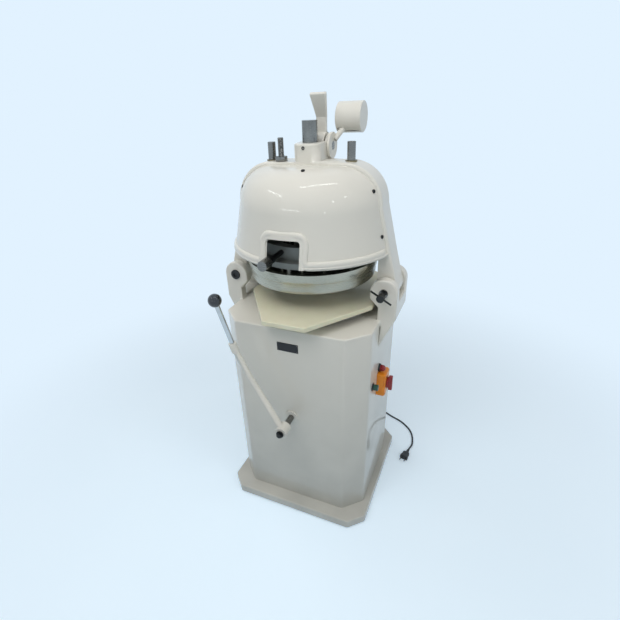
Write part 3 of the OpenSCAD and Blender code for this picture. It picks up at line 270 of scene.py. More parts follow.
# Length over which the rolled edge sinks into the sheet before the seam
ROLL_FADE = 20


def dome_normal(point, side):
    """The dome's outward normal over a point; side is -1 for the front cover and 1 for the rear one."""
    lean = math.atan2(DOME_TAPER, DOME_WALL)
    flat = Vector((point.x, point.y + side * mm(DOME_BACK)))
    rise = point.z - mm(DOME_LOW)
    if rise <= mm(DOME_WALL):
        tilt = lean * (1 - rise / mm(DOME_WALL) / 2)
    else:
        turn = math.atan2(rise - mm(DOME_WALL), flat.length - mm(DOME_RIM - DOME_TAPER - DOME_ARC))
        turn = min(turn, math.pi / 2)
        tilt = turn + lean / 2 * max(0, 1 - turn / LEAN_END)
    flat.normalize()
    return Vector((flat.x * math.cos(tilt), flat.y * math.cos(tilt), math.sin(tilt)))


def dome_skin(node, name, side):
    """Replaces a dome cover by a copy whose skin is shaded as the turned shape that it is."""
    mesh = piece(name, merged_copy(node), body_of_node[node], "enamel", (node,)).data
    normals = [Vector(corner.vector) for corner in mesh.corner_normals]
    for face in mesh.polygons:
        way = face.normal.dot(dome_normal(face.center, side))
        if abs(way) > math.cos(SKIN_ANGLE):
            for loop in face.loop_indices:
                point = mesh.vertices[mesh.loops[loop].vertex_index].co
                normals[loop] = dome_normal(point, side) * math.copysign(1, way)
    mesh.normals_split_custom_set(normals)


def rim_run(start, end, steps):
    """Points of a cover's rim between two sideways places."""
    first = math.asin(start / ROLL_RADIUS)
    last = math.asin(end / ROLL_RADIUS)
    angles = [first + (last - first) * step / steps for step in range(steps + 1)]
    return [(ROLL_RADIUS * math.sin(angle), ROLL_IN) for angle in angles]


def notch_bend(centre, radius, start, end, steps=10):
    """Points round a corner of the notch, from one angle to another in degrees."""
    angles = [math.radians(start + (end - start) * step / steps) for step in range(steps + 1)]
    return [(centre[0] + radius * math.cos(angle), centre[1] + radius * math.sin(angle)) for angle in angles]


def cover_roll(name, line, side):
    """The rolled edge of a dome cover along a line of sideways places and heights over the rim."""
    rail = []
    for across, rise in line:
        radius = DOME_RIM - DOME_TAPER * rise / DOME_WALL
        deep = math.sqrt(radius * radius - across * across) - DOME_BACK
        rail.append(Vector((mm(across), side * mm(deep), mm(DOME_LOW + rise))))
    shape = bmesh.new()
    rings = []
    for number, place in enumerate(rail):
        along = rail[min(number + 1, len(rail) - 1)] - rail[max(number - 1, 0)]
        out = dome_normal(place, side)
        inward = along.cross(out).normalized() * side
        fade = min(1, (abs(place.y) - mm(SEAM)) / mm(ROLL_FADE))
        lifted = [(step, height * fade if height > 0 else height) for step, height in ROLL]
        rings.append([shape.verts.new(place + inward * mm(step) + out * mm(height))
                      for step, height in lifted])
    count = len(ROLL)
    for one, two in zip(rings, rings[1:]):
        for number in range(count):
            after = (number + 1) % count
            shape.faces.new((one[number], two[number], two[after], one[after]))
    for ring in (rings[0], rings[-1]):
        shape.faces.new(ring)
    bmesh.ops.recalc_face_normals(shape, faces=shape.faces)
    piece(name, shape, body_of_node["front_cover"], "enamel")


# Finishes

def stoved_enamel(name, colour, shade, low, high):
    """Off-white enamel stoved on iron: a wet gloss with a slow orange peel, and painted shade, in dusty
    patches, that darkens it towards the floor.
    """
    material, tree, place = blank_material(name)
    cloud = add(tree, "ShaderNodeTexNoise", {"Scale": per_mm(150), "Detail": 3.0}, {"Vector": place})
    peel = add(tree, "ShaderNodeTexNoise", {"Scale": per_mm(16), "Detail": 1.0}, {"Vector": place})
    rise = add(tree, "ShaderNodeSeparateXYZ", None, {"Vector": place}).outputs["Z"]
    # Painted shade: the enamel darkens from high down to low, towards the floor
    depth = add(tree, "ShaderNodeMapRange", {"From Min": high, "From Max": low, "To Min": 0.1, "To Max": 0.9},
                {"Value": rise})
    patch = add(tree, "ShaderNodeMapRange", {"From Min": 0.3, "From Max": 0.72, "To Min": 0.7, "To Max": 1.0},
                {"Value": cloud.outputs[0]})
    # Painted shade towards the floor, broken up into dusty patches by the cloud
    dust_and_shade = add(tree, "ShaderNodeMath", {"operation": "MULTIPLY"}, {0: depth.outputs[0], 1: patch.outputs[0]})
    tone = add(tree, "ShaderNodeMix", {"data_type": "RGBA", 6: colour, 7: shade}, {0: dust_and_shade.outputs[0]})
    gloss = add(tree, "ShaderNodeMapRange", {"From Min": 0.3, "From Max": 0.7, "To Min": 0.3, "To Max": 0.45},
                {"Value": cloud.outputs[0]})
    skin = add(tree, "ShaderNodeBump", {"Strength": 0.06, "Distance": mm(0.6)}, {"Height": peel.outputs[0]})
    shader = add(tree, "ShaderNodeBsdfPrincipled",
                 {"Specular IOR Level": 0.2, "Coat Weight": 0.6, "Coat Roughness": 0.05},
                 {"Base Color": tone.outputs[2], "Roughness": gloss.outputs[0], "Normal": skin.outputs[0]})
    add(tree, "ShaderNodeOutputMaterial", None, {"Surface": shader.outputs[0]})
    return material


def metal(name, colour, shade, marks, roughness, depth):
    """A bare metal whose tool marks run across the short side of marks, three sizes in millimetres.

    The marks of a real grinding are finer than a pixel, so they are drawn as coarse as they need to show.
    """
    material, tree, place = blank_material(name)
    along = add(tree, "ShaderNodeMapping", {"Scale": [per_mm(size) for size in marks]}, {"Vector": place})
    grain = add(tree, "ShaderNodeTexNoise", {"Scale": 1.0, "Detail": 4.0}, {"Vector": along.outputs[0]})
    stain = add(tree, "ShaderNodeTexNoise", {"Scale": per_mm(38), "Detail": 3.0}, {"Vector": place})
    tone = add(tree, "ShaderNodeMix", {"data_type": "RGBA", 6: colour, 7: shade}, {0: stain.outputs[0]})
    polish = add(tree, "ShaderNodeMapRange",
                 {"From Min": 0.25, "From Max": 0.75, "To Min": roughness[0], "To Max": roughness[1]},
                 {"Value": grain.outputs[0]})
    relief = add(tree, "ShaderNodeBump", {"Strength": 0.25, "Distance": depth}, {"Height": grain.outputs[0]})
    shader = add(tree, "ShaderNodeBsdfPrincipled", {"Metallic": 1.0},
                 {"Base Color": tone.outputs[2], "Roughness": polish.outputs[0], "Normal": relief.outputs[0]})
    add(tree, "ShaderNodeOutputMaterial", None, {"Surface": shader.outputs[0]})
    return material


def turned_aluminium(name, colour, shade):
    """Cast aluminium turned in a lathe: rings round the press axis and a soft satin sheen.

    The rings of a real turning are finer than a pixel, so they are drawn as coarse as they need to show.
    """
    material, tree, place = blank_material(name)
    parts = add(tree, "ShaderNodeSeparateXYZ", None, {"Vector": place})
    flat = add(tree, "ShaderNodeCombineXYZ", None, {"X": parts.outputs["X"], "Y": parts.outputs["Y"]})
    radius = add(tree, "ShaderNodeVectorMath", {"operation": "LENGTH"}, {0: flat.outputs[0]})
    section = add(tree, "ShaderNodeCombineXYZ", None, {"X": radius.outputs["Value"], "Z": parts.outputs["Z"]})
    rings = add(tree, "ShaderNodeTexNoise", {"Scale": per_mm(2.2), "Detail": 2.0},
                {"Vector": section.outputs[0]})
    stain = add(tree, "ShaderNodeTexNoise", {"Scale": per_mm(55), "Detail": 3.0}, {"Vector": place})
    tone = add(tree, "ShaderNodeMix", {"data_type": "RGBA", 6: colour, 7: shade}, {0: stain.outputs[0]})
    polish = add(tree, "ShaderNodeMapRange",
                 {"From Min": 0.3, "From Max": 0.7, "To Min": 0.2, "To Max": 0.38},
                 {"Value": rings.outputs[0]})
    relief = add(tree, "ShaderNodeBump", {"Strength": 0.15, "Distance": mm(0.15)},
                 {"Height": rings.outputs[0]})
    shader = add(tree, "ShaderNodeBsdfPrincipled", {"Metallic": 1.0},
                 {"Base Color": tone.outputs[2], "Roughness": polish.outputs[0], "Normal": relief.outputs[0]})
    add(tree, "ShaderNodeOutputMaterial", None, {"Surface": shader.outputs[0]})
    return material


def sand_cast_iron(name, colour, shade):
    """Grey iron from a sand mould under thin primer: a matt, grainy skin."""
    material, tree, place = blank_material(name)
    sand = add(tree, "ShaderNodeTexNoise", {"Scale": per_mm(2.5), "Detail": 5.0}, {"Vector": place})
    patch = add(tree, "ShaderNodeTexNoise", {"Scale": per_mm(45), "Detail": 3.0}, {"Vector": place})
    tone = add(tree, "ShaderNodeMix", {"data_type": "RGBA", 6: colour, 7: shade}, {0: patch.outputs[0]})
    relief = add(tree, "ShaderNodeBump", {"Strength": 0.4, "Distance": mm(0.5)}, {"Height": sand.outputs[0]})
    shader = add(tree, "ShaderNodeBsdfPrincipled", {"Metallic": 0.55, "Roughness": 0.58},
                 {"Base Color": tone.outputs[2], "Normal": relief.outputs[0]})
    add(tree, "ShaderNodeOutputMaterial", None, {"Surface": shader.outputs[0]})
    return material


def pressed_board(name, colour, shade):
    """Ivory polyethylene board: a waxy sheen, knife scratches and a film of flour."""
    material, tree, place = blank_material(name)
    turn = add(tree, "ShaderNodeMapping",
               {"Rotation": (0, 0, 0.6), "Scale": (per_mm(60), per_mm(1.6), per_mm(60))}, {"Vector": place})
    scratch = add(tree, "ShaderNodeTexNoise", {"Scale": 1.0, "Detail": 3.0}, {"Vector": turn.outputs[0]})
    film = add(tree, "ShaderNodeTexNoise", {"Scale": per_mm(70), "Detail": 5.0}, {"Vector": place})
    tone = add(tree, "ShaderNodeMix", {"data_type": "RGBA", 6: colour, 7: shade}, {0: film.outputs[0]})
    gloss = add(tree, "ShaderNodeMapRange", {"From Min": 0.3, "From Max": 0.7, "To Min": 0.3, "To Max": 0.55},
                {"Value": film.outputs[0]})
    relief = add(tree, "ShaderNodeBump", {"Strength": 0.2, "Distance": mm(0.3)},
                 {"Height": scratch.outputs[0]})
    shader = add(tree, "ShaderNodeBsdfPrincipled", {"Subsurface Weight": 0.08, "Subsurface Scale": mm(4)},
                 {"Base Color": tone.outputs[2], "Roughness": gloss.outputs[0], "Normal": relief.outputs[0]})
    add(tree, "ShaderNodeOutputMaterial", None, {"Surface": shader.outputs[0]})
    return material


def moulded_plastic(name, colour, shade, grain, roughness, coat):
    """Moulded plastic: an even colour with a faint grain from the mould, in millimetres, and rub marks."""
    material, tree, place = blank_material(name)
    skin = add(tree, "ShaderNodeTexNoise", {"Scale": per_mm(grain), "Detail": 2.0}, {"Vector": place})
    rub = add(tree, "ShaderNodeTexNoise", {"Scale": per_mm(22), "Detail": 4.0}, {"Vector": place})
    tone = add(tree, "ShaderNodeMix", {"data_type": "RGBA", 6: colour, 7: shade}, {0: rub.outputs[0]})
    gloss = add(tree, "ShaderNodeMapRange",
                {"From Min": 0.3, "From Max": 0.7, "To Min": roughness[0], "To Max": roughness[1]},
                {"Value": rub.outputs[0]})
    relief = add(tree, "ShaderNodeBump", {"Strength": 0.15, "Distance": mm(0.2)}, {"Height": skin.outputs[0]})
    shader = add(tree, "ShaderNodeBsdfPrincipled", {"Coat Weight": coat, "Coat Roughness": 0.08},
                 {"Base Color": tone.outputs[2], "Roughness": gloss.outputs[0], "Normal": relief.outputs[0]})
    add(tree, "ShaderNodeOutputMaterial", None, {"Surface": shader.outputs[0]})
    return material


# Values that the panel shows

def colour_value(label, use, code):
    """A colour, with its default as an sRGB hex value."""
    return FloatVectorProperty(name=label, description=use, subtype="COLOR", size=4, min=0, max=1,
                               default=linear(code))


def length_value(label, use, default, low, high):
    """A length, with its default and limits in millimetres."""
    return FloatProperty(name=label, description=use, default=mm(default), min=mm(low), max=mm(high),
                         unit="LENGTH")


def power_value(label, use, default, high):
    """A lamp's power in watts."""
    return FloatProperty(name=label, description=use, default=default, min=0, max=high, unit="POWER")


class RounderFinish(bpy.types.PropertyGroup):
    """Colours of the finishes."""
    enamel: colour_value("Enamel", "Off-white of the castings", "#e4e2d9")
    # Colour that painted shade, in dusty patches, darkens the enamel to towards the floor
    enamel_shade: colour_value("Enamel shade", "Enamel where dust has settled", "#adaea8")
    iron: colour_value("Cast iron", "Primed iron of the drive", "#8d908c")
    steel: colour_value("Ground steel", "Bright rods and shafts", "#94938f")
    chrome: colour_value("Chromed steel", "Rod of the rounding lever", "#d6dadb")
    black_steel: colour_value("Blackened steel", "Screws, pin and tee screw", "#4a4b4a")
    aluminium: colour_value("Turned aluminium", "Press ring and plates", "#bebbac")
    board: colour_value("Board", "Dough plate", "#e9e7d0")
    cord: colour_value("Cord", "Cord sheath and plug", "#1b1d20")
    ball: colour_value("Ball knob", "Phenolic ball and blank plate", "#111319")
    orange: colour_value("Switch box", "Switch housing", "#f59a1d")
    red: colour_value("Switch handle", "Switch handle and lamp", "#9c1512")
    green: colour_value("Start button", "Start button", "#0f4c38")
    brass: colour_value("Brass", "Bushes", "#8d8062")


class RounderEdges(bpy.types.PropertyGroup):
    """Roundings of the castings and plates."""
    casting: length_value("Casting edge", "Rounding of the body and base castings and the boss", 5, 1, 8)
    arch: length_value("Arch edge", "Rounding of the head arch beside the covers", 8, 2, 9)
    lever: length_value("Lever edge", "Rounding of the press lever, weight, board and arch legs", 2.5, 0.5, 4)
    sheet: length_value("Cabinet corner", "How far back the cabinet corners start to turn", 8, 2, 20)
    fitting: length_value("Fitting edge", "Rounding of pins, bushes and other fittings", 1, 0.2, 2)


class RounderCord(bpy.types.PropertyGroup):
    """Sizes of the mains cord."""
    diameter: length_value("Diameter", "Diameter of the cord", 8, 6, 8)
    tie_width: length_value("Tie width", "Width of the tie round the coil", 8, 4, 14)
    turn_points: IntProperty(name="Points a turn", description="Points on each turn of the coil",
                             default=24, min=12, max=48)


class RounderStage(bpy.types.PropertyGroup):
    """Camera, floor and lamps."""
    eye: FloatVectorProperty(name="Eye", description="Place of the camera", subtype="XYZ", unit="LENGTH",
                             size=3, default=(0.5169, -1.2474, 1.4295))
    swing: FloatProperty(name="Swing", description="How far right of the front the camera stands",
                         subtype="ANGLE", default=math.radians(26.17))
    pitch: FloatProperty(name="Pitch", description="How far the camera looks down", subtype="ANGLE",
                         default=math.radians(30.17))
    roll: FloatProperty(name="Roll", description="Turn of the picture", subtype="ANGLE", default=-0.0566)
    backdrop: colour_value("Backdrop", "Floor and backdrop", "#e2f2ff")
    key: power_value("Key lamp", "Power of the soft lamp overhead", 24, 200)
    side: power_value("Side lamp", "Power of the lamp that casts the shadow", 9, 100)
    fill: power_value("Fill lamp", "Power of the soft lamp at the side", 14, 100)
    strip: power_value("Strip lamps", "Power of each far strip lamp", 6, 30)
    sky: FloatProperty(name="Sky", description="Strength of the light from all round", default=0.34,
                       min=0, max=2)


def dress(node, finish):
    """Puts a finish on a CAD node."""
    for slot in cad[node].material_slots:
        slot.material = finish


class ROUNDER_OT_finishes(bpy.types.Operator):
    """Makes every finish and puts each on the CAD nodes of its slot"""
    bl_idname = "rounder.finishes"
    bl_label = "Finishes"

    def execute(self, context):
        tint = context.scene.rounder_finish
        FINISHES.update({
            # Painted shade on the enamel, in dusty patches, grows from 0.75 m down to the floor
            "enamel": stoved_enamel("stoved_enamel", tint.enamel, tint.enamel_shade, low=0.0, high=0.75),
            "cast_grey": sand_cast_iron("sand_cast_iron", tint.iron, linear("#6f726f")),
            "bright_steel": metal("ground_steel", tint.steel, linear("#6b6a68"), marks=(30, 30, 1.4),
                                  roughness=(0.2, 0.36), depth=mm(0.05)),
            "dark_steel": metal("blackened_steel", tint.black_steel, linear("#2b2c2c"), marks=(4, 4, 4),
                                roughness=(0.34, 0.5), depth=mm(0.1)),
            "aluminium": turned_aluminium("turned_aluminium", tint.aluminium, linear("#9c9b8f")),
            "ivory_board": pressed_board("polyethylene_board", tint.board, linear("#d8d6b8")),
            "black_rubber": moulded_plastic("extruded_pvc", tint.cord, linear("#2a2c2e"), grain=1.5,
                                            roughness=(0.42, 0.6), coat=0.0),
            "black_plastic": moulded_plastic("polished_phenolic", tint.ball, linear("#1d2026"), grain=30,
                                             roughness=(0.1, 0.2), coat=0.6),
            "orange_plastic": moulded_plastic("moulded_abs_orange", tint.orange, linear("#e8820f"), grain=2,
                                              roughness=(0.3, 0.44), coat=0.1),
            "red_plastic": moulded_plastic("moulded_abs_red", tint.red, linear("#7c0e0d"), grain=2,
                                           roughness=(0.28, 0.42), coat=0.15),
            "green_plastic": moulded_plastic("moulded_abs_green", tint.green, linear("#0b3a2b"), grain=2,
                                             roughness=(0.28, 0.42), coat=0.15),
            "brass": metal("turned_brass", tint.brass, linear("#6f6450"), marks=(12, 12, 1.2),
                           roughness=(0.22, 0.4), depth=mm(0.05)),
            "chrome": metal("chromed_steel", tint.chrome, linear("#b4b9bb"), marks=(9, 9, 9),
                            roughness=(0.12, 0.2), depth=mm(0.02)),
            "plate": moulded_plastic("anodised_plate", tint.ball, linear("#191b1f"), grain=3,
                                     roughness=(0.5, 0.62), coat=0.0),
        })
        for row in frame["record"]["subparts"]:
            dress(row["node"], FINISHES[row["material_slot"]])
        dress("round_lever_rod", FINISHES["chrome"])
        return {"FINISHED"}


class ROUNDER_OT_camera(bpy.types.Operator):
    """Sets the camera at the photograph's viewing angle"""
    bl_idname = "rounder.camera"
    bl_label = "Camera"

    def execute(self, context):
        view = context.scene.rounder_stage
        ahead = Vector((-math.sin(view.swing) * math.cos(view.pitch),
                        math.cos(view.swing) * math.cos(view.pitch),
                        -math.sin(view.pitch)))
        right = ahead.cross(Vector((0, 0, 1))).normalized()
        up = right.cross(ahead)
        level = Matrix((right, up, -ahead)).transposed().to_4x4()
        lens = bpy.data.cameras.new("camera")
        lens.sensor_width = FILM_WIDTH
        lens.lens = FILM_WIDTH * FOCAL_PIXELS / PICTURE_PIXELS
        lens.shift_x = 0.5 - CENTRE_PIXEL[0] / PICTURE_PIXELS
        lens.shift_y = CENTRE_PIXEL[1] / PICTURE_PIXELS - 0.5
        camera = bpy.data.objects.new("camera", lens)
        camera.matrix_world = Matrix.Translation(view.eye) @ level @ Matrix.Rotation(view.roll, 4, "Z")
        context.scene.collection.objects.link(camera)
        context.scene.camera = camera
        return {"FINISHED"}


# Mains cord: route in millimetres, repeated from the source of the solids
DROP = ((174, 265, 86), (174, 273, 86), (173, 290, 83), (169, 306, 73), (162, 319, 57), (153, 328, 39),
        (142, 334, 23), (129, 338, 11), (114, 340, 5), (96, 340, 4.1), (78, 340, 4.1))
LEAD = ((78, 448, 13.3), (86, 448, 13.3), (102, 448, 11), (119, 446.5, 7), (135, 444.5, 4.6), (152, 441, 4.1),
        (172, 434, 4.1), (192, 425, 4.1), (212, 414, 4.1), (232, 403, 4.1), (252, 394, 4.1), (272, 386, 4.1),
        (292, 376, 4.1), (310, 363, 4.1), (327, 348, 4.1), (342, 331, 4.1), (353, 312, 4.1), (361, 292, 4.1),
        (366, 271, 4.1), (369, 250, 4.2), (369, 234, 5.5), (367, 219, 9), (364, 204, 12.3), (362, 194, 12.3))
COIL_CENTRE = (70, 394, 4.1)
COIL_RADIUS = 54
COIL_STEP = 9.6
COIL_LAYER = 9.2
COIL_TURNS = 2
COIL_RUN = 2 * COIL_TURNS + 0.5
# Gland: how far its solid reaches in behind the wall's face, then size across and height of its nut
GLAND_SINK = 8
GLAND_ACROSS = 24
GLAND_HIGH = 10
# Tie: size of the strap round the coil, its bends, its thickness, height of its middle and place of its head
TIE_WIDE = 30
TIE_HIGH = 18.2
TIE_BEND = 6
TIE_THICK = 1.2
TIE_MIDDLE = 9.2
TIE_HEAD = 17
# Plug: distance along it, width and height of each section, then one pin's outline and half their spacing
PLUG_SECTIONS = ((20, 18, 15), (22, 24, 19), (27, 29, 21.5), (34, 27, 20), (42, 31, 22.5), (50, 34, 24),
                 (55, 34, 24), (56, 32, 22))
PLUG_PIN = ((0, 0), (2.4, 0), (2.4, 17), (2.1, 18.2), (1.2, 18.9), (0, 19))
PIN_HALF = 9.5


def coil_point(turn):
    """A point of the coil: two turns in, half a turn up and two turns out."""
    if turn < COIL_TURNS:
        radius = COIL_RADIUS - COIL_STEP * turn
    elif turn < COIL_TURNS + 0.5:
        radius = COIL_RADIUS - COIL_STEP * COIL_TURNS
    else:
        radius = COIL_RADIUS - COIL_STEP * (COIL_RUN - turn)
    angle = -math.pi / 2 - math.tau * turn
    rise = COIL_LAYER * min(1, max(0, 2 * (turn - COIL_TURNS)))
    return (COIL_CENTRE[0] + radius * math.cos(angle), COIL_CENTRE[1] + radius * math.sin(angle),
            COIL_CENTRE[2] + rise)


def cord_gland(start):
    """The gland: a six-sided nut, then a tapered sleeve with slots that let it bend."""
    wall = Vector((start.x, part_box("cord_gland")[0].y + mm(GLAND_SINK), start.z))
    sleeve_base = wall + Vector((0, mm(GLAND_HIGH), 0))
    taper = [(0, 0)]
    for ring in range(6):
        foot = 4.16 * ring
        outer = 10 - 0.58 * ring
        taper += [(outer, foot + 0.3), (outer - 0.3, foot + 2.8), (outer - 1.6, foot + 3.1),
                  (outer - 1.6, foot + 4.0)]
    taper += [(6.4, 25), (0, 25)]
    nut = hexagon(mm(GLAND_ACROSS), mm(GLAND_HIGH), edge=mm(1), place=facing(wall, (0, 1, 0)))
    sleeve = turned_mm(taper, facing(sleeve_base, (0, 1, 0)))
    piece("cord_gland_sleeve", joined([nut, sleeve]), "stand", "black_rubber", ("cord_gland",))


def cord_tie(width):
    """The tie: a strap round both layers of the coil, with its square head outside."""
    radial_mid = mm(COIL_RADIUS - COIL_STEP * COIL_TURNS / 2)
    centre = Vector((mm(COIL_CENTRE[0]) - radial_mid, mm(COIL_CENTRE[1]), mm(TIE_MIDDLE)))
    strap = cuboid((mm(TIE_WIDE), width, mm(TIE_HIGH)))
    ends = [face for face in strap.faces if abs(face.normal.y) > 0.9]
    bmesh.ops.delete(strap, geom=ends, context="FACES")
    corners = [edge for edge in strap.edges if abs((edge.verts[0].co - edge.verts[1].co).y) > mm(1)]
    rounded(strap, corners, mm(TIE_BEND), 5)
    bmesh.ops.solidify(strap, geom=strap.faces, thickness=mm(TIE_THICK))
    bmesh.ops.translate(strap, vec=centre, verts=strap.verts)
    head = block((mm(6), width + mm(2), mm(7)), edge=mm(1),
                 place=Matrix.Translation(centre - Vector((mm(TIE_HEAD), 0, 0))))
    return piece("cord_tie", joined([strap, head]), "stand", "black_rubber")


def plug_body(place):
    """The plug's waisted body, drawn out from a rounded section."""
    body = bmesh.new()
    bmesh.ops.create_grid(body, x_segments=1, y_segments=1, size=0.5)
    rounded(body, body.verts, 0.24, 5, "VERTICES")
    bmesh.ops.rotate(body, matrix=Matrix(((0, 0, 1), (1, 0, 0), (0, 1, 0))), verts=body.verts)
    along, wide, high = PLUG_SECTIONS[0]
    bmesh.ops.scale(body, vec=(1, mm(wide), mm(high)), verts=body.verts)
    bmesh.ops.translate(body, vec=(mm(along), 0, 0), verts=body.verts)
    end = next(iter(body.faces))
    for before, (along, wide, high) in zip(PLUG_SECTIONS, PLUG_SECTIONS[1:]):
        grown = bmesh.ops.extrude_face_region(body, geom=[end])["geom"]
        rim = [v for v in grown if isinstance(v, bmesh.types.BMVert)]
        bmesh.ops.delete(body, geom=[end], context="FACES_ONLY")
        end = next(face for face in grown if isinstance(face, bmesh.types.BMFace))
        bmesh.ops.scale(body, vec=(1, wide / before[1], high / before[2]), verts=rim)
        bmesh.ops.translate(body, vec=(mm(along - before[0]), 0, 0), verts=rim)
    bmesh.ops.holes_fill(body, edges=body.edges, sides=0)
    bmesh.ops.recalc_face_normals(body, faces=body.faces)
    bmesh.ops.transform(body, matrix=place, verts=body.verts)
    return body


def strain_relief(place):
    """The ribbed sleeve where the cord enters the plug."""
    ribs = [(0, 0), (4.4, 0)]
    for ring in range(5):
        foot = 0.6 + 4 * ring
        outer = 5.2 + 0.4 * ring
        ribs += [(outer, foot), (outer, foot + 2.4), (outer - 0.9, foot + 2.8), (outer - 0.9, foot + 3.8)]
    ribs += [(7, 21), (0, 21)]
    return turned_mm(ribs, place @ facing((0, 0, 0), (1, 0, 0)), 32)


class ROUNDER_OT_cord(bpy.types.Operator):
    """Lays the mains cord with its gland, coil, tie and plug"""
    bl_idname = "rounder.cord"
    bl_label = "Mains cord"

    def execute(self, context):
        facts = context.scene.rounder_cord
        coil = [coil_point(k / facts.turn_points) for k in range(int(COIL_RUN * facts.turn_points) + 1)]
        route = [Vector(mm(c) for c in point) for point in (*DROP, *coil, *LEAD)]
        line = bpy.data.curves.new("mains_cord", "CURVE")
        line.dimensions = "3D"
        line.bevel_depth = facts.diameter / 2
        line.bevel_resolution = 3
        line.use_fill_caps = True
        line.resolution_u = 4
        spline = line.splines.new("BEZIER")
        spline.bezier_points.add(len(route) - 1)
        for point, place in zip(spline.bezier_points, route):
            point.co = place
            point.handle_left_type = point.handle_right_type = "AUTO"
        line.materials.append(FINISHES["black_rubber"])
        cord = bpy.data.objects.new("mains_cord", line)
        context.scene.collection.objects.link(cord)
        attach(cord, "stand")
        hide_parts("cord_drop", "cord_coil", "cord_lead")

        cord_gland(route[0])
        tie = cord_tie(facts.tie_width)
        ahead = route[-1] - route[-2]
        plug_place = Matrix.Translation(route[-1]) @ Matrix.Rotation(math.atan2(ahead.y, ahead.x), 4, "Z")
        plug = piece("cord_plug", joined([plug_body(plug_place), strain_relief(plug_place)]), "stand",
                     "black_rubber", ("plug",))
        pin_foot = mm(PLUG_SECTIONS[-1][0])
        pins = [turned_mm(PLUG_PIN, plug_place @ facing((pin_foot, mm(side * PIN_HALF), 0), (1, 0, 0)), 24)
                for side in (-1, 1)]
        pins = piece("cord_plug_pins", joined(pins), "stand", "bright_steel")

        return {"FINISHED"}


# Height under which the base's edges stay sharp, and height that the arch curves round, in millimetres
BASE_FOOT = 7
ARCH_MIDDLE = 1050
# Body casting in millimetres: reach of the hole round the pivot, how far below the pivot inner corners stay
# sharp, and half the width of the deck that has holes
PIVOT_HOLE = 20
LUG_DROP = 45
DECK_HALF = 180


class ROUNDER_OT_castings(bpy.types.Operator):
    """Rounds the edges of the castings, covers, levers and plates"""
    bl_idname = "rounder.castings"
    bl_label = "Castings"

    def execute(self, context):
        size = context.scene.rounder_edges
        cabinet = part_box("cabinet_shell")[1]
        arch_y = -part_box("front_cover")[1].y
        rim_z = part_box("front_cover")[0].z
        pivot = sum(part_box("hinge_pin"), Vector()) / 2
        boss_points = [v.co for v in cad["head_frame"].data.vertices if abs(v.co.z - BOSS_TOP) < mm(0.1)]

        def base_edges(edge, middle, normals):
            """Rounds what doesn't stand on the floor."""
            return size.casting if middle.z > mm(BASE_FOOT) else 0

        def body_edges(edge, middle, normals):
            """Leaves holes, the deck's rim, the inner corners under the ears and what lies on the cabinet."""
            pivot_hole = math.hypot(abs(middle.x) - abs(pivot.x), middle.z - pivot.z) < mm(PIVOT_HOLE)
            deck_hole = edge.calc_length() < mm(3) and abs(middle.x) < mm(DECK_HALF)
            deck_rim = (middle.z < cabinet.z + mm(1)
                        and all(abs(n.z) > 0.99 or abs(n.z) < 0.01 for n in normals))
            under_ear = not edge.is_convex and middle.z > pivot.z - mm(LUG_DROP)
            at_wall = middle.z < cabinet.z - mm(1) and abs(middle.x) < cabinet.x + mm(1)
            return 0 if pivot_hole or deck_hole or deck_rim or under_ear or at_wall else size.casting

        def head_edges(edge, middle, normals):
            """Rounds the outline of the boss, the arch beside the covers and the outer edges of its legs."""
            if abs(middle.z - BOSS_TOP) < mm(0.1):
                wall = min(normals, key=lambda n: abs(n.z))
                outline = all((p - middle).dot(wall) < mm(0.1) for p in boss_points)
                return size.casting if outline else 0
            outward = Vector((middle.x, 0, middle.z - mm(ARCH_MIDDLE)))
            outer = any(n.dot(outward) > 0.2 * outward.length for n in normals)
            small_ring = edge.calc_length() < mm(2.4)
            if not edge.is_convex or small_ring or not outer:
                return 0
            at_face = abs(abs(middle.y) - arch_y) < mm(0.5)
            return size.arch if at_face and middle.z > rim_z else size.lever

        softened("base_plate", "base_casting", "enamel", base_edges)
        softened("body_casting", "body_ears", "enamel", body_edges, "MITER_SHARP")
        softened("head_frame", "head_arch", "enamel", head_edges)
        dome_skin("front_cover", "dome_front", -1)
        dome_skin("rear_cover", "dome_rear", 1)
        side = NOTCH_HALF + ROLL_IN
        top = NOTCH_RISE + ROLL_IN
        turn = NOTCH_CORNER + ROLL_IN
        reach = math.sqrt(ROLL_RADIUS ** 2 - (DOME_BACK + SEAM) ** 2)
        half = (rim_run(reach, side + ROLL_BEND, 60)
                + notch_bend((side + ROLL_BEND, ROLL_IN + ROLL_BEND), ROLL_BEND, 270, 180)[1:]
                + notch_bend((side - turn, top - turn), turn, 0, 90))
        cover_roll("cover_roll_front", half + [(-x, z) for x, z in reversed(half)], -1)
        cover_roll("cover_roll_rear", rim_run(reach, -reach, 120), 1)
        for node, name, slot, rounding in (
                ("press_lever", "press_lever_bar", "enamel", size.lever),
                ("weight_arm", "weight_arm_bar", "enamel", size.fitting),
                ("counterweight", "weight_drum", "enamel", size.lever),
                ("round_lever_arm", "rounding_arm", "enamel", size.fitting),
                ("lever_bush", "rounding_bush", "enamel", size.fitting),
                ("rear_panel", "service_panel", "enamel", size.fitting),
                ("dough_plate", "dough_board", "ivory_board", size.lever),
                ("guide_rods", "guide_pillars", "bright_steel", size.fitting),
                ("hinge_pin", "hinge_bolt", "dark_steel", size.fitting),
                ("lock_screw", "tee_screw", "dark_steel", size.fitting),
                ("lock_knob", "lock_grip", "bright_steel", size.fitting),
                ("press_ring", "press_collar", "aluminium", size.fitting)):
            softened(node, name, slot, outer_edges(rounding))
        return {"FINISHED"}


def uprights(shape):
    """The upright edges of a shape."""
    return [edge for edge in shape.edges if abs((edge.verts[0].co - edge.verts[1].co).z) > mm(1)]


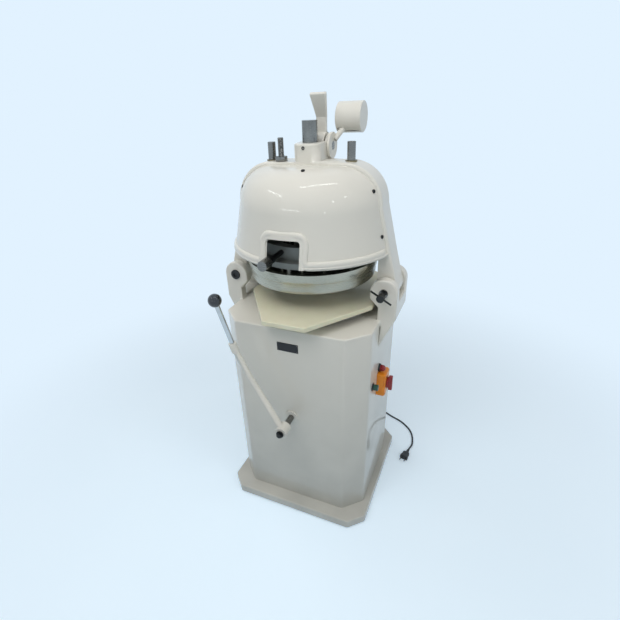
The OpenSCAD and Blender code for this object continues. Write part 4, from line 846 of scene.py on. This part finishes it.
class ROUNDER_OT_cabinet(bpy.types.Operator):
    """Folds the cabinet's sheet round its soft corners"""
    bl_idname = "rounder.cabinet"
    bl_label = "Cabinet"

    def execute(self, context):
        low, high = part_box("cabinet_shell")
        sheet = cuboid(high - low)
        bmesh.ops.translate(sheet, vec=(low + high) / 2, verts=sheet.verts)
        rounded(sheet, uprights(sheet), mm(CABINET_CUT), 1)
        rounded(sheet, uprights(sheet), context.scene.rounder_edges.sheet, 6)
        ends = [face for face in sheet.faces if abs(face.normal.z) > 0.9]
        bmesh.ops.delete(sheet, geom=ends, context="FACES")
        bmesh.ops.recalc_face_normals(sheet, faces=sheet.faces)
        bmesh.ops.solidify(sheet, geom=sheet.faces, thickness=mm(CABINET_SHEET))
        piece("cabinet_sheet", sheet, "stand", "enamel", ("cabinet_shell",))
        return {"FINISHED"}


# Share of a screw head's radius that its rounded rim takes
HEAD_RIM = 0.16
# Turned outlines in millimetres: the boss's set screw and the washer on the rounding lever's hub
SET_SCREW = ((0, -2), (4.6, -2), (4.6, 1.6), (4.2, 2.2), (2.4, 2.2), (2.4, -0.6), (0, -0.6))
HUB_WASHER = ((0, -1), (13, -1), (13, 1.4), (12.4, 2), (0, 2))
# Sideways place and height of the set screw, and radius of the hub, in millimetres
SET_SCREW_X = -4
SET_SCREW_Z = 1289
HUB_RADIUS = 22


def socketed(node, name, head_radius, socket_radius, socket_depth):
    """Replaces a set of screws by a copy whose heads have rounded rims and sockets."""
    shape = merged_copy(node)
    full = math.pi * head_radius ** 2
    caps = [face for face in shape.faces
            if len(face.verts) > 12 and abs(face.calc_area() - full) < 0.05 * full]
    rims = [edge for face in caps for edge in face.edges]
    rounded(shape, rims, head_radius * HEAD_RIM, 2)
    caps = [face for face in shape.faces
            if len(face.verts) > 12 and 0.5 * full < face.calc_area() < 0.95 * full]
    inner = head_radius * (1 - HEAD_RIM) - socket_radius
    bmesh.ops.inset_individual(shape, faces=caps, thickness=inner, use_even_offset=True)
    bmesh.ops.inset_individual(shape, faces=caps, thickness=mm(0.05), depth=-socket_depth)
    piece(name, shape, body_of_node[node], "dark_steel", (node,))


class ROUNDER_OT_screws(bpy.types.Operator):
    """Gives the screws their sockets, adds the set screw and hub bolt, and threads the stop stud"""
    bl_idname = "rounder.screws"
    bl_label = "Screws"

    def execute(self, context):
        socketed("cover_screws", "cover_screw_heads",
                 head_radius=mm(5.5), socket_radius=mm(2.6), socket_depth=mm(2))
        socketed("rear_panel_screws", "panel_screw_heads",
                 head_radius=mm(7), socket_radius=mm(3.4), socket_depth=mm(2.6))
        boss_front = Vector((mm(SET_SCREW_X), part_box("front_cover")[1].y, mm(SET_SCREW_Z)))
        set_screw = turned_mm(SET_SCREW, facing(boss_front, (0, -1, 0)), 24)
        piece("boss_set_screw", set_screw, "head", "dark_steel")
        hub_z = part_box("round_lever_arm")[0].z + mm(HUB_RADIUS)
        hub_front = Vector((0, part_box("round_lever_shaft")[0].y, hub_z))
        washer = turned_mm(HUB_WASHER, facing(hub_front, (0, -1, 0)), 32)
        bolt = hexagon(across=mm(17), height=mm(8), edge=mm(1),
                       place=facing(hub_front + Vector((0, mm(-2), 0)), (0, -1, 0)))
        piece("hub_bolt", joined([washer, bolt]), "round_lever", "dark_steel")

        low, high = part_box("stop_screw")
        middle = (low + high) / 2
        radius = mm(9)
        pitch = mm(2.5)
        deep = mm(1.1)
        outline = [(0, low.z), (radius, low.z), (radius, ARCH_TOP)]
        while outline[-1][1] + pitch < high.z - mm(2):
            foot = outline[-1][1]
            outline += [(radius - deep, foot + pitch / 2), (radius, foot + pitch)]
        outline += [(radius - mm(1.5), high.z), (0, high.z)]
        stud = turned(outline, Matrix.Translation((middle.x, middle.y, 0)), 32)
        nut = hexagon(across=mm(32), height=mm(14), edge=mm(1.2),
                      place=Matrix.Translation((middle.x, middle.y, ARCH_TOP)))
        piece("stop_stud", joined([stud, nut]), "head", "bright_steel", ("stop_screw",))
        return {"FINISHED"}


# Turned outlines of the controls in millimetres
LID_SCREW = ((0, -1), (2.6, -1), (2.6, 0.5), (1.8, 1), (0.9, 1), (0.9, 0.2), (0, 0.2))
START_COLLAR = ((10.9, 0), (15, 0), (15, 2), (14, 3.2), (11.6, 3.4), (10.9, 2.6), (10.9, 0))
LAMP_BEZEL = ((11.2, 0), (14, 0), (14, 4), (13.2, 5.6), (12, 6), (11.2, 5.2), (11.2, 0))
PLATE_RIVET = ((0, 0), (1.5, 0), (1.2, 0.5), (0, 0.6))
# Lens of the pilot lamp: radius, foot of its dome, and the angles of the dome's points
LENS_RADIUS = 11
LENS_FOOT = 13
LENS_ANGLES = (0.1, 0.3, 0.5, 0.7, 0.9, 1.1, 1.3, 1.45)
# Half spacings of the lid's screws and of the plate's rivets in millimetres
LID_HALF = (21, 36)
RIVET_HALF = (33, 11.5)
FOUR_CORNERS = ((-1, -1), (-1, 1), (1, -1), (1, 1))


def wall_seat(node):
    """Matrix of a fitting's seat on the cabinet's right wall, at a node."""
    low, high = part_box(node)
    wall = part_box("cabinet_shell")[1].x
    return facing(Vector((wall, (low.y + high.y) / 2, (low.z + high.z) / 2)), (1, 0, 0))


class ROUNDER_OT_controls(bpy.types.Operator):
    """Makes the switch, start button, pilot lamp and the blank plate"""
    bl_idname = "rounder.controls"
    bl_label = "Controls"

    def execute(self, context):
        softened("switch_box", "switch_housing", "orange_plastic", every_edge(mm(1.6)))
        softened("switch_knob", "switch_handle", "red_plastic", every_edge(mm(1.8)))
        softened("start_button", "start_cap", "green_plastic", every_edge(mm(1.6)))
        low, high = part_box("switch_box")
        middle = (low + high) / 2
        screws = []
        for y, z in FOUR_CORNERS:
            seat = Vector((high.x, middle.y + y * mm(LID_HALF[0]), middle.z + z * mm(LID_HALF[1])))
            screws.append(turned_mm(LID_SCREW, facing(seat, (1, 0, 0)), 20))
        piece("switch_lid_screws", joined(screws), "stand", "bright_steel")
        piece("start_collar", turned_mm(START_COLLAR, wall_seat("start_button")), "stand", "black_plastic")
        piece("lamp_bezel", turned_mm(LAMP_BEZEL, wall_seat("pilot_lamp")), "stand", "dark_steel")
        lens = [(0, 0), (LENS_RADIUS, 0)]
        for ring in range(4):
            foot = 5 + 2 * ring
            lens += [(LENS_RADIUS, foot), (LENS_RADIUS, foot + 1.2), (LENS_RADIUS - 0.6, foot + 1.6)]
        lens += [(LENS_RADIUS * math.cos(a), LENS_FOOT + LENS_RADIUS * math.sin(a)) for a in LENS_ANGLES]
        lens += [(0, LENS_FOOT + LENS_RADIUS)]
        piece("lamp_lens", turned_mm(lens, wall_seat("pilot_lamp")), "stand", "red_plastic", ("pilot_lamp",))

        low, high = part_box("name_plate")
        middle = (low + high) / 2
        plate = block(high - low, edge=mm(0.5), place=Matrix.Translation(middle))
        face = min(plate.faces, key=lambda f: f.calc_center_median().y)
        bmesh.ops.inset_individual(plate, faces=[face], thickness=mm(1.6), depth=0)
        bmesh.ops.inset_individual(plate, faces=[face], thickness=mm(0.4), depth=-mm(0.5))
        piece("blank_plate", plate, "stand", "black_plastic", ("name_plate",), FINISHES["plate"])
        rivets = []
        for x, z in FOUR_CORNERS:
            seat = Vector((middle.x + x * mm(RIVET_HALF[0]), low.y + mm(0.6),
                           middle.z + z * mm(RIVET_HALF[1])))
            rivets.append(turned_mm(PLATE_RIVET, facing(seat, (0, -1, 0)), 16))
        piece("blank_plate_rivets", joined(rivets), "stand", "bright_steel")
        return {"FINISHED"}


# Half the side of the floor, and the height that the lamps face, in metres
FLOOR_HALF = 30
LAMP_AIM = 0.9


def looked_at(tree):
    """A socket that is 1 where the camera, a reflection or glass looks, and 0 for light on the object."""
    path = add(tree, "ShaderNodeLightPath")
    seen = add(tree, "ShaderNodeMath", {"operation": "MAXIMUM"},
               {0: path.outputs["Is Camera Ray"], 1: path.outputs["Is Glossy Ray"]})
    seen = add(tree, "ShaderNodeMath", {"operation": "MAXIMUM"},
               {0: seen.outputs[0], 1: path.outputs["Is Transmission Ray"]})
    return seen.outputs[0]


def painted_floor(name, backdrop):
    """Pale matt paint on a floor: even, with the object's shadow near it and the backdrop's tone far off."""
    material, tree, place = blank_material(name)
    reach = add(tree, "ShaderNodeVectorMath", {"operation": "LENGTH"}, {0: place})
    far = add(tree, "ShaderNodeMapRange",
              {"interpolation_type": "SMOOTHSTEP", "From Min": 0.75, "From Max": 2.1},
              {"Value": reach.outputs["Value"]})
    grit = add(tree, "ShaderNodeTexNoise", {"Scale": per_mm(400), "Detail": 2.0}, {"Vector": place})
    tone = add(tree, "ShaderNodeMix", {"data_type": "RGBA", 6: linear("#d9ebf8"), 7: linear("#deeffb")},
               {0: grit.outputs[0]})
    matt = add(tree, "ShaderNodeBsdfDiffuse", None, {"Color": tone.outputs[2]})
    glow = add(tree, "ShaderNodeEmission", {"Color": backdrop})
    half = add(tree, "ShaderNodeEmission", {"Color": backdrop, "Strength": 0.29})
    near = add(tree, "ShaderNodeAddShader", None, {0: matt.outputs[0], 1: half.outputs[0]})
    shown = add(tree, "ShaderNodeMixShader", None,
                {0: far.outputs[0], 1: near.outputs[0], 2: glow.outputs[0]})
    both = add(tree, "ShaderNodeMixShader", None,
               {0: looked_at(tree), 1: matt.outputs[0], 2: shown.outputs[0]})
    add(tree, "ShaderNodeOutputMaterial", None, {"Surface": both.outputs[0]})
    return material


class ROUNDER_OT_stage(bpy.types.Operator):
    """Sets the pale floor, the backdrop and the lamps"""
    bl_idname = "rounder.stage"
    bl_label = "Stage"

    def execute(self, context):
        facts = context.scene.rounder_stage
        scene = context.scene
        scene.view_settings.view_transform = "Standard"

        floor = bmesh.new()
        bmesh.ops.create_grid(floor, x_segments=8, y_segments=8, size=FLOOR_HALF)
        mesh = bpy.data.meshes.new("studio_floor")
        floor.to_mesh(mesh)
        floor.free()
        mesh.materials.append(painted_floor("painted_floor", facts.backdrop))
        ground = bpy.data.objects.new("studio_floor", mesh)
        scene.collection.objects.link(ground)

        world = bpy.data.worlds.new("studio")
        world.use_nodes = True
        scene.world = world
        tree = world.node_tree
        tree.nodes.clear()
        way = add(tree, "ShaderNodeTexCoord").outputs["Generated"]
        rise = add(tree, "ShaderNodeSeparateXYZ", None, {"Vector": way}).outputs["Z"]
        dome = add(tree, "ShaderNodeMapRange",
                   {"From Min": -0.2, "From Max": 0.9, "To Min": 0.3, "To Max": 1.0}, {"Value": rise})
        level = add(tree, "ShaderNodeMath", {"operation": "MULTIPLY", 1: facts.sky}, {0: dome.outputs[0]})
        light = add(tree, "ShaderNodeBackground", {"Color": linear("#fffcf8")},
                    {"Strength": level.outputs[0]})
        shown = add(tree, "ShaderNodeBackground", {"Color": facts.backdrop, "Strength": 1.0})
        both = add(tree, "ShaderNodeMixShader", None,
                   {0: looked_at(tree), 1: light.outputs[0], 2: shown.outputs[0]})
        add(tree, "ShaderNodeOutputWorld", None, {"Surface": both.outputs[0]})

        # Three soft lamps light the object. Strips and small panes far off draw the streaks in the enamel
        aim = Vector((0, 0, LAMP_AIM))
        for name, place, width, depth, power, glossy in (
                ("key_lamp", (-0.1, -1.55, 3.0), 1.8, 1.2, facts.key, False),
                ("side_lamp", (-1.8, 0.5, 2.6), 1.2, 1.2, facts.side, False),
                ("fill_lamp", (2.6, -0.8, 2.2), 1.2, 1.2, facts.fill, False),
                ("strip_lamp_1", (-1.87, -1.5, 3.2), 1.5, 0.14, facts.strip, True),
                ("strip_lamp_2", (-0.89, -3.46, 2.07), 1.7, 0.12, facts.strip, True),
                ("strip_lamp_3", (0.31, -0.41, 3.2), 1.5, 0.1, facts.strip, True),
                ("disc_lamp_1", (2.43, -0.76, 3.0), 0.16, 0.16, facts.strip / 5, True),
                ("disc_lamp_2", (2.08, -1.72, 2.86), 0.16, 0.16, facts.strip / 5, True),
                ("disc_lamp_3", (1.85, -2.58, 1.63), 0.12, 0.12, facts.strip / 8, True)):
            light = bpy.data.lights.new(name, "AREA")
            light.shape = "RECTANGLE"
            light.size = width
            light.size_y = depth
            light.energy = power
            lamp = bpy.data.objects.new(name, light)
            lamp.matrix_world = facing(place, Vector(place) - aim)
            lamp.visible_glossy = glossy
            scene.collection.objects.link(lamp)
        return {"FINISHED"}


class ROUNDER_PT_panel(bpy.types.Panel):
    """Lists the steps that dress the divider rounder"""
    bl_idname = "ROUNDER_PT_panel"
    bl_label = "Dough divider rounder"
    bl_space_type = "VIEW_3D"
    bl_region_type = "UI"
    bl_category = "Rounder"

    def draw(self, context):
        for step in STEPS:
            self.layout.operator(step.bl_idname)
        for group in GROUPS:
            facts = getattr(context.scene, group)
            for key in facts.__annotations__:
                self.layout.prop(facts, key)


STEPS = (ROUNDER_OT_camera, ROUNDER_OT_finishes, ROUNDER_OT_cord, ROUNDER_OT_castings, ROUNDER_OT_cabinet,
         ROUNDER_OT_screws, ROUNDER_OT_controls, ROUNDER_OT_stage)
GROUPS = {"rounder_finish": RounderFinish, "rounder_edges": RounderEdges, "rounder_cord": RounderCord,
          "rounder_stage": RounderStage}


def register():
    """Registers the property groups, the operators and the panel."""
    for kind in (*GROUPS.values(), *STEPS, ROUNDER_PT_panel):
        bpy.utils.register_class(kind)
    for name, kind in GROUPS.items():
        setattr(bpy.types.Scene, name, PointerProperty(type=kind))


def unregister():
    """Removes what register added."""
    for name in GROUPS:
        delattr(bpy.types.Scene, name)
    for kind in reversed((*GROUPS.values(), *STEPS, ROUNDER_PT_panel)):
        bpy.utils.unregister_class(kind)


def main():
    """Dresses the frame step by step."""
    register()
    bpy.ops.rounder.camera()
    bpy.ops.rounder.finishes()
    bpy.ops.rounder.cord()
    bpy.ops.rounder.castings()
    bpy.ops.rounder.cabinet()
    bpy.ops.rounder.screws()
    bpy.ops.rounder.controls()
    bpy.ops.rounder.stage()


if __name__ == "__main__":
    main()
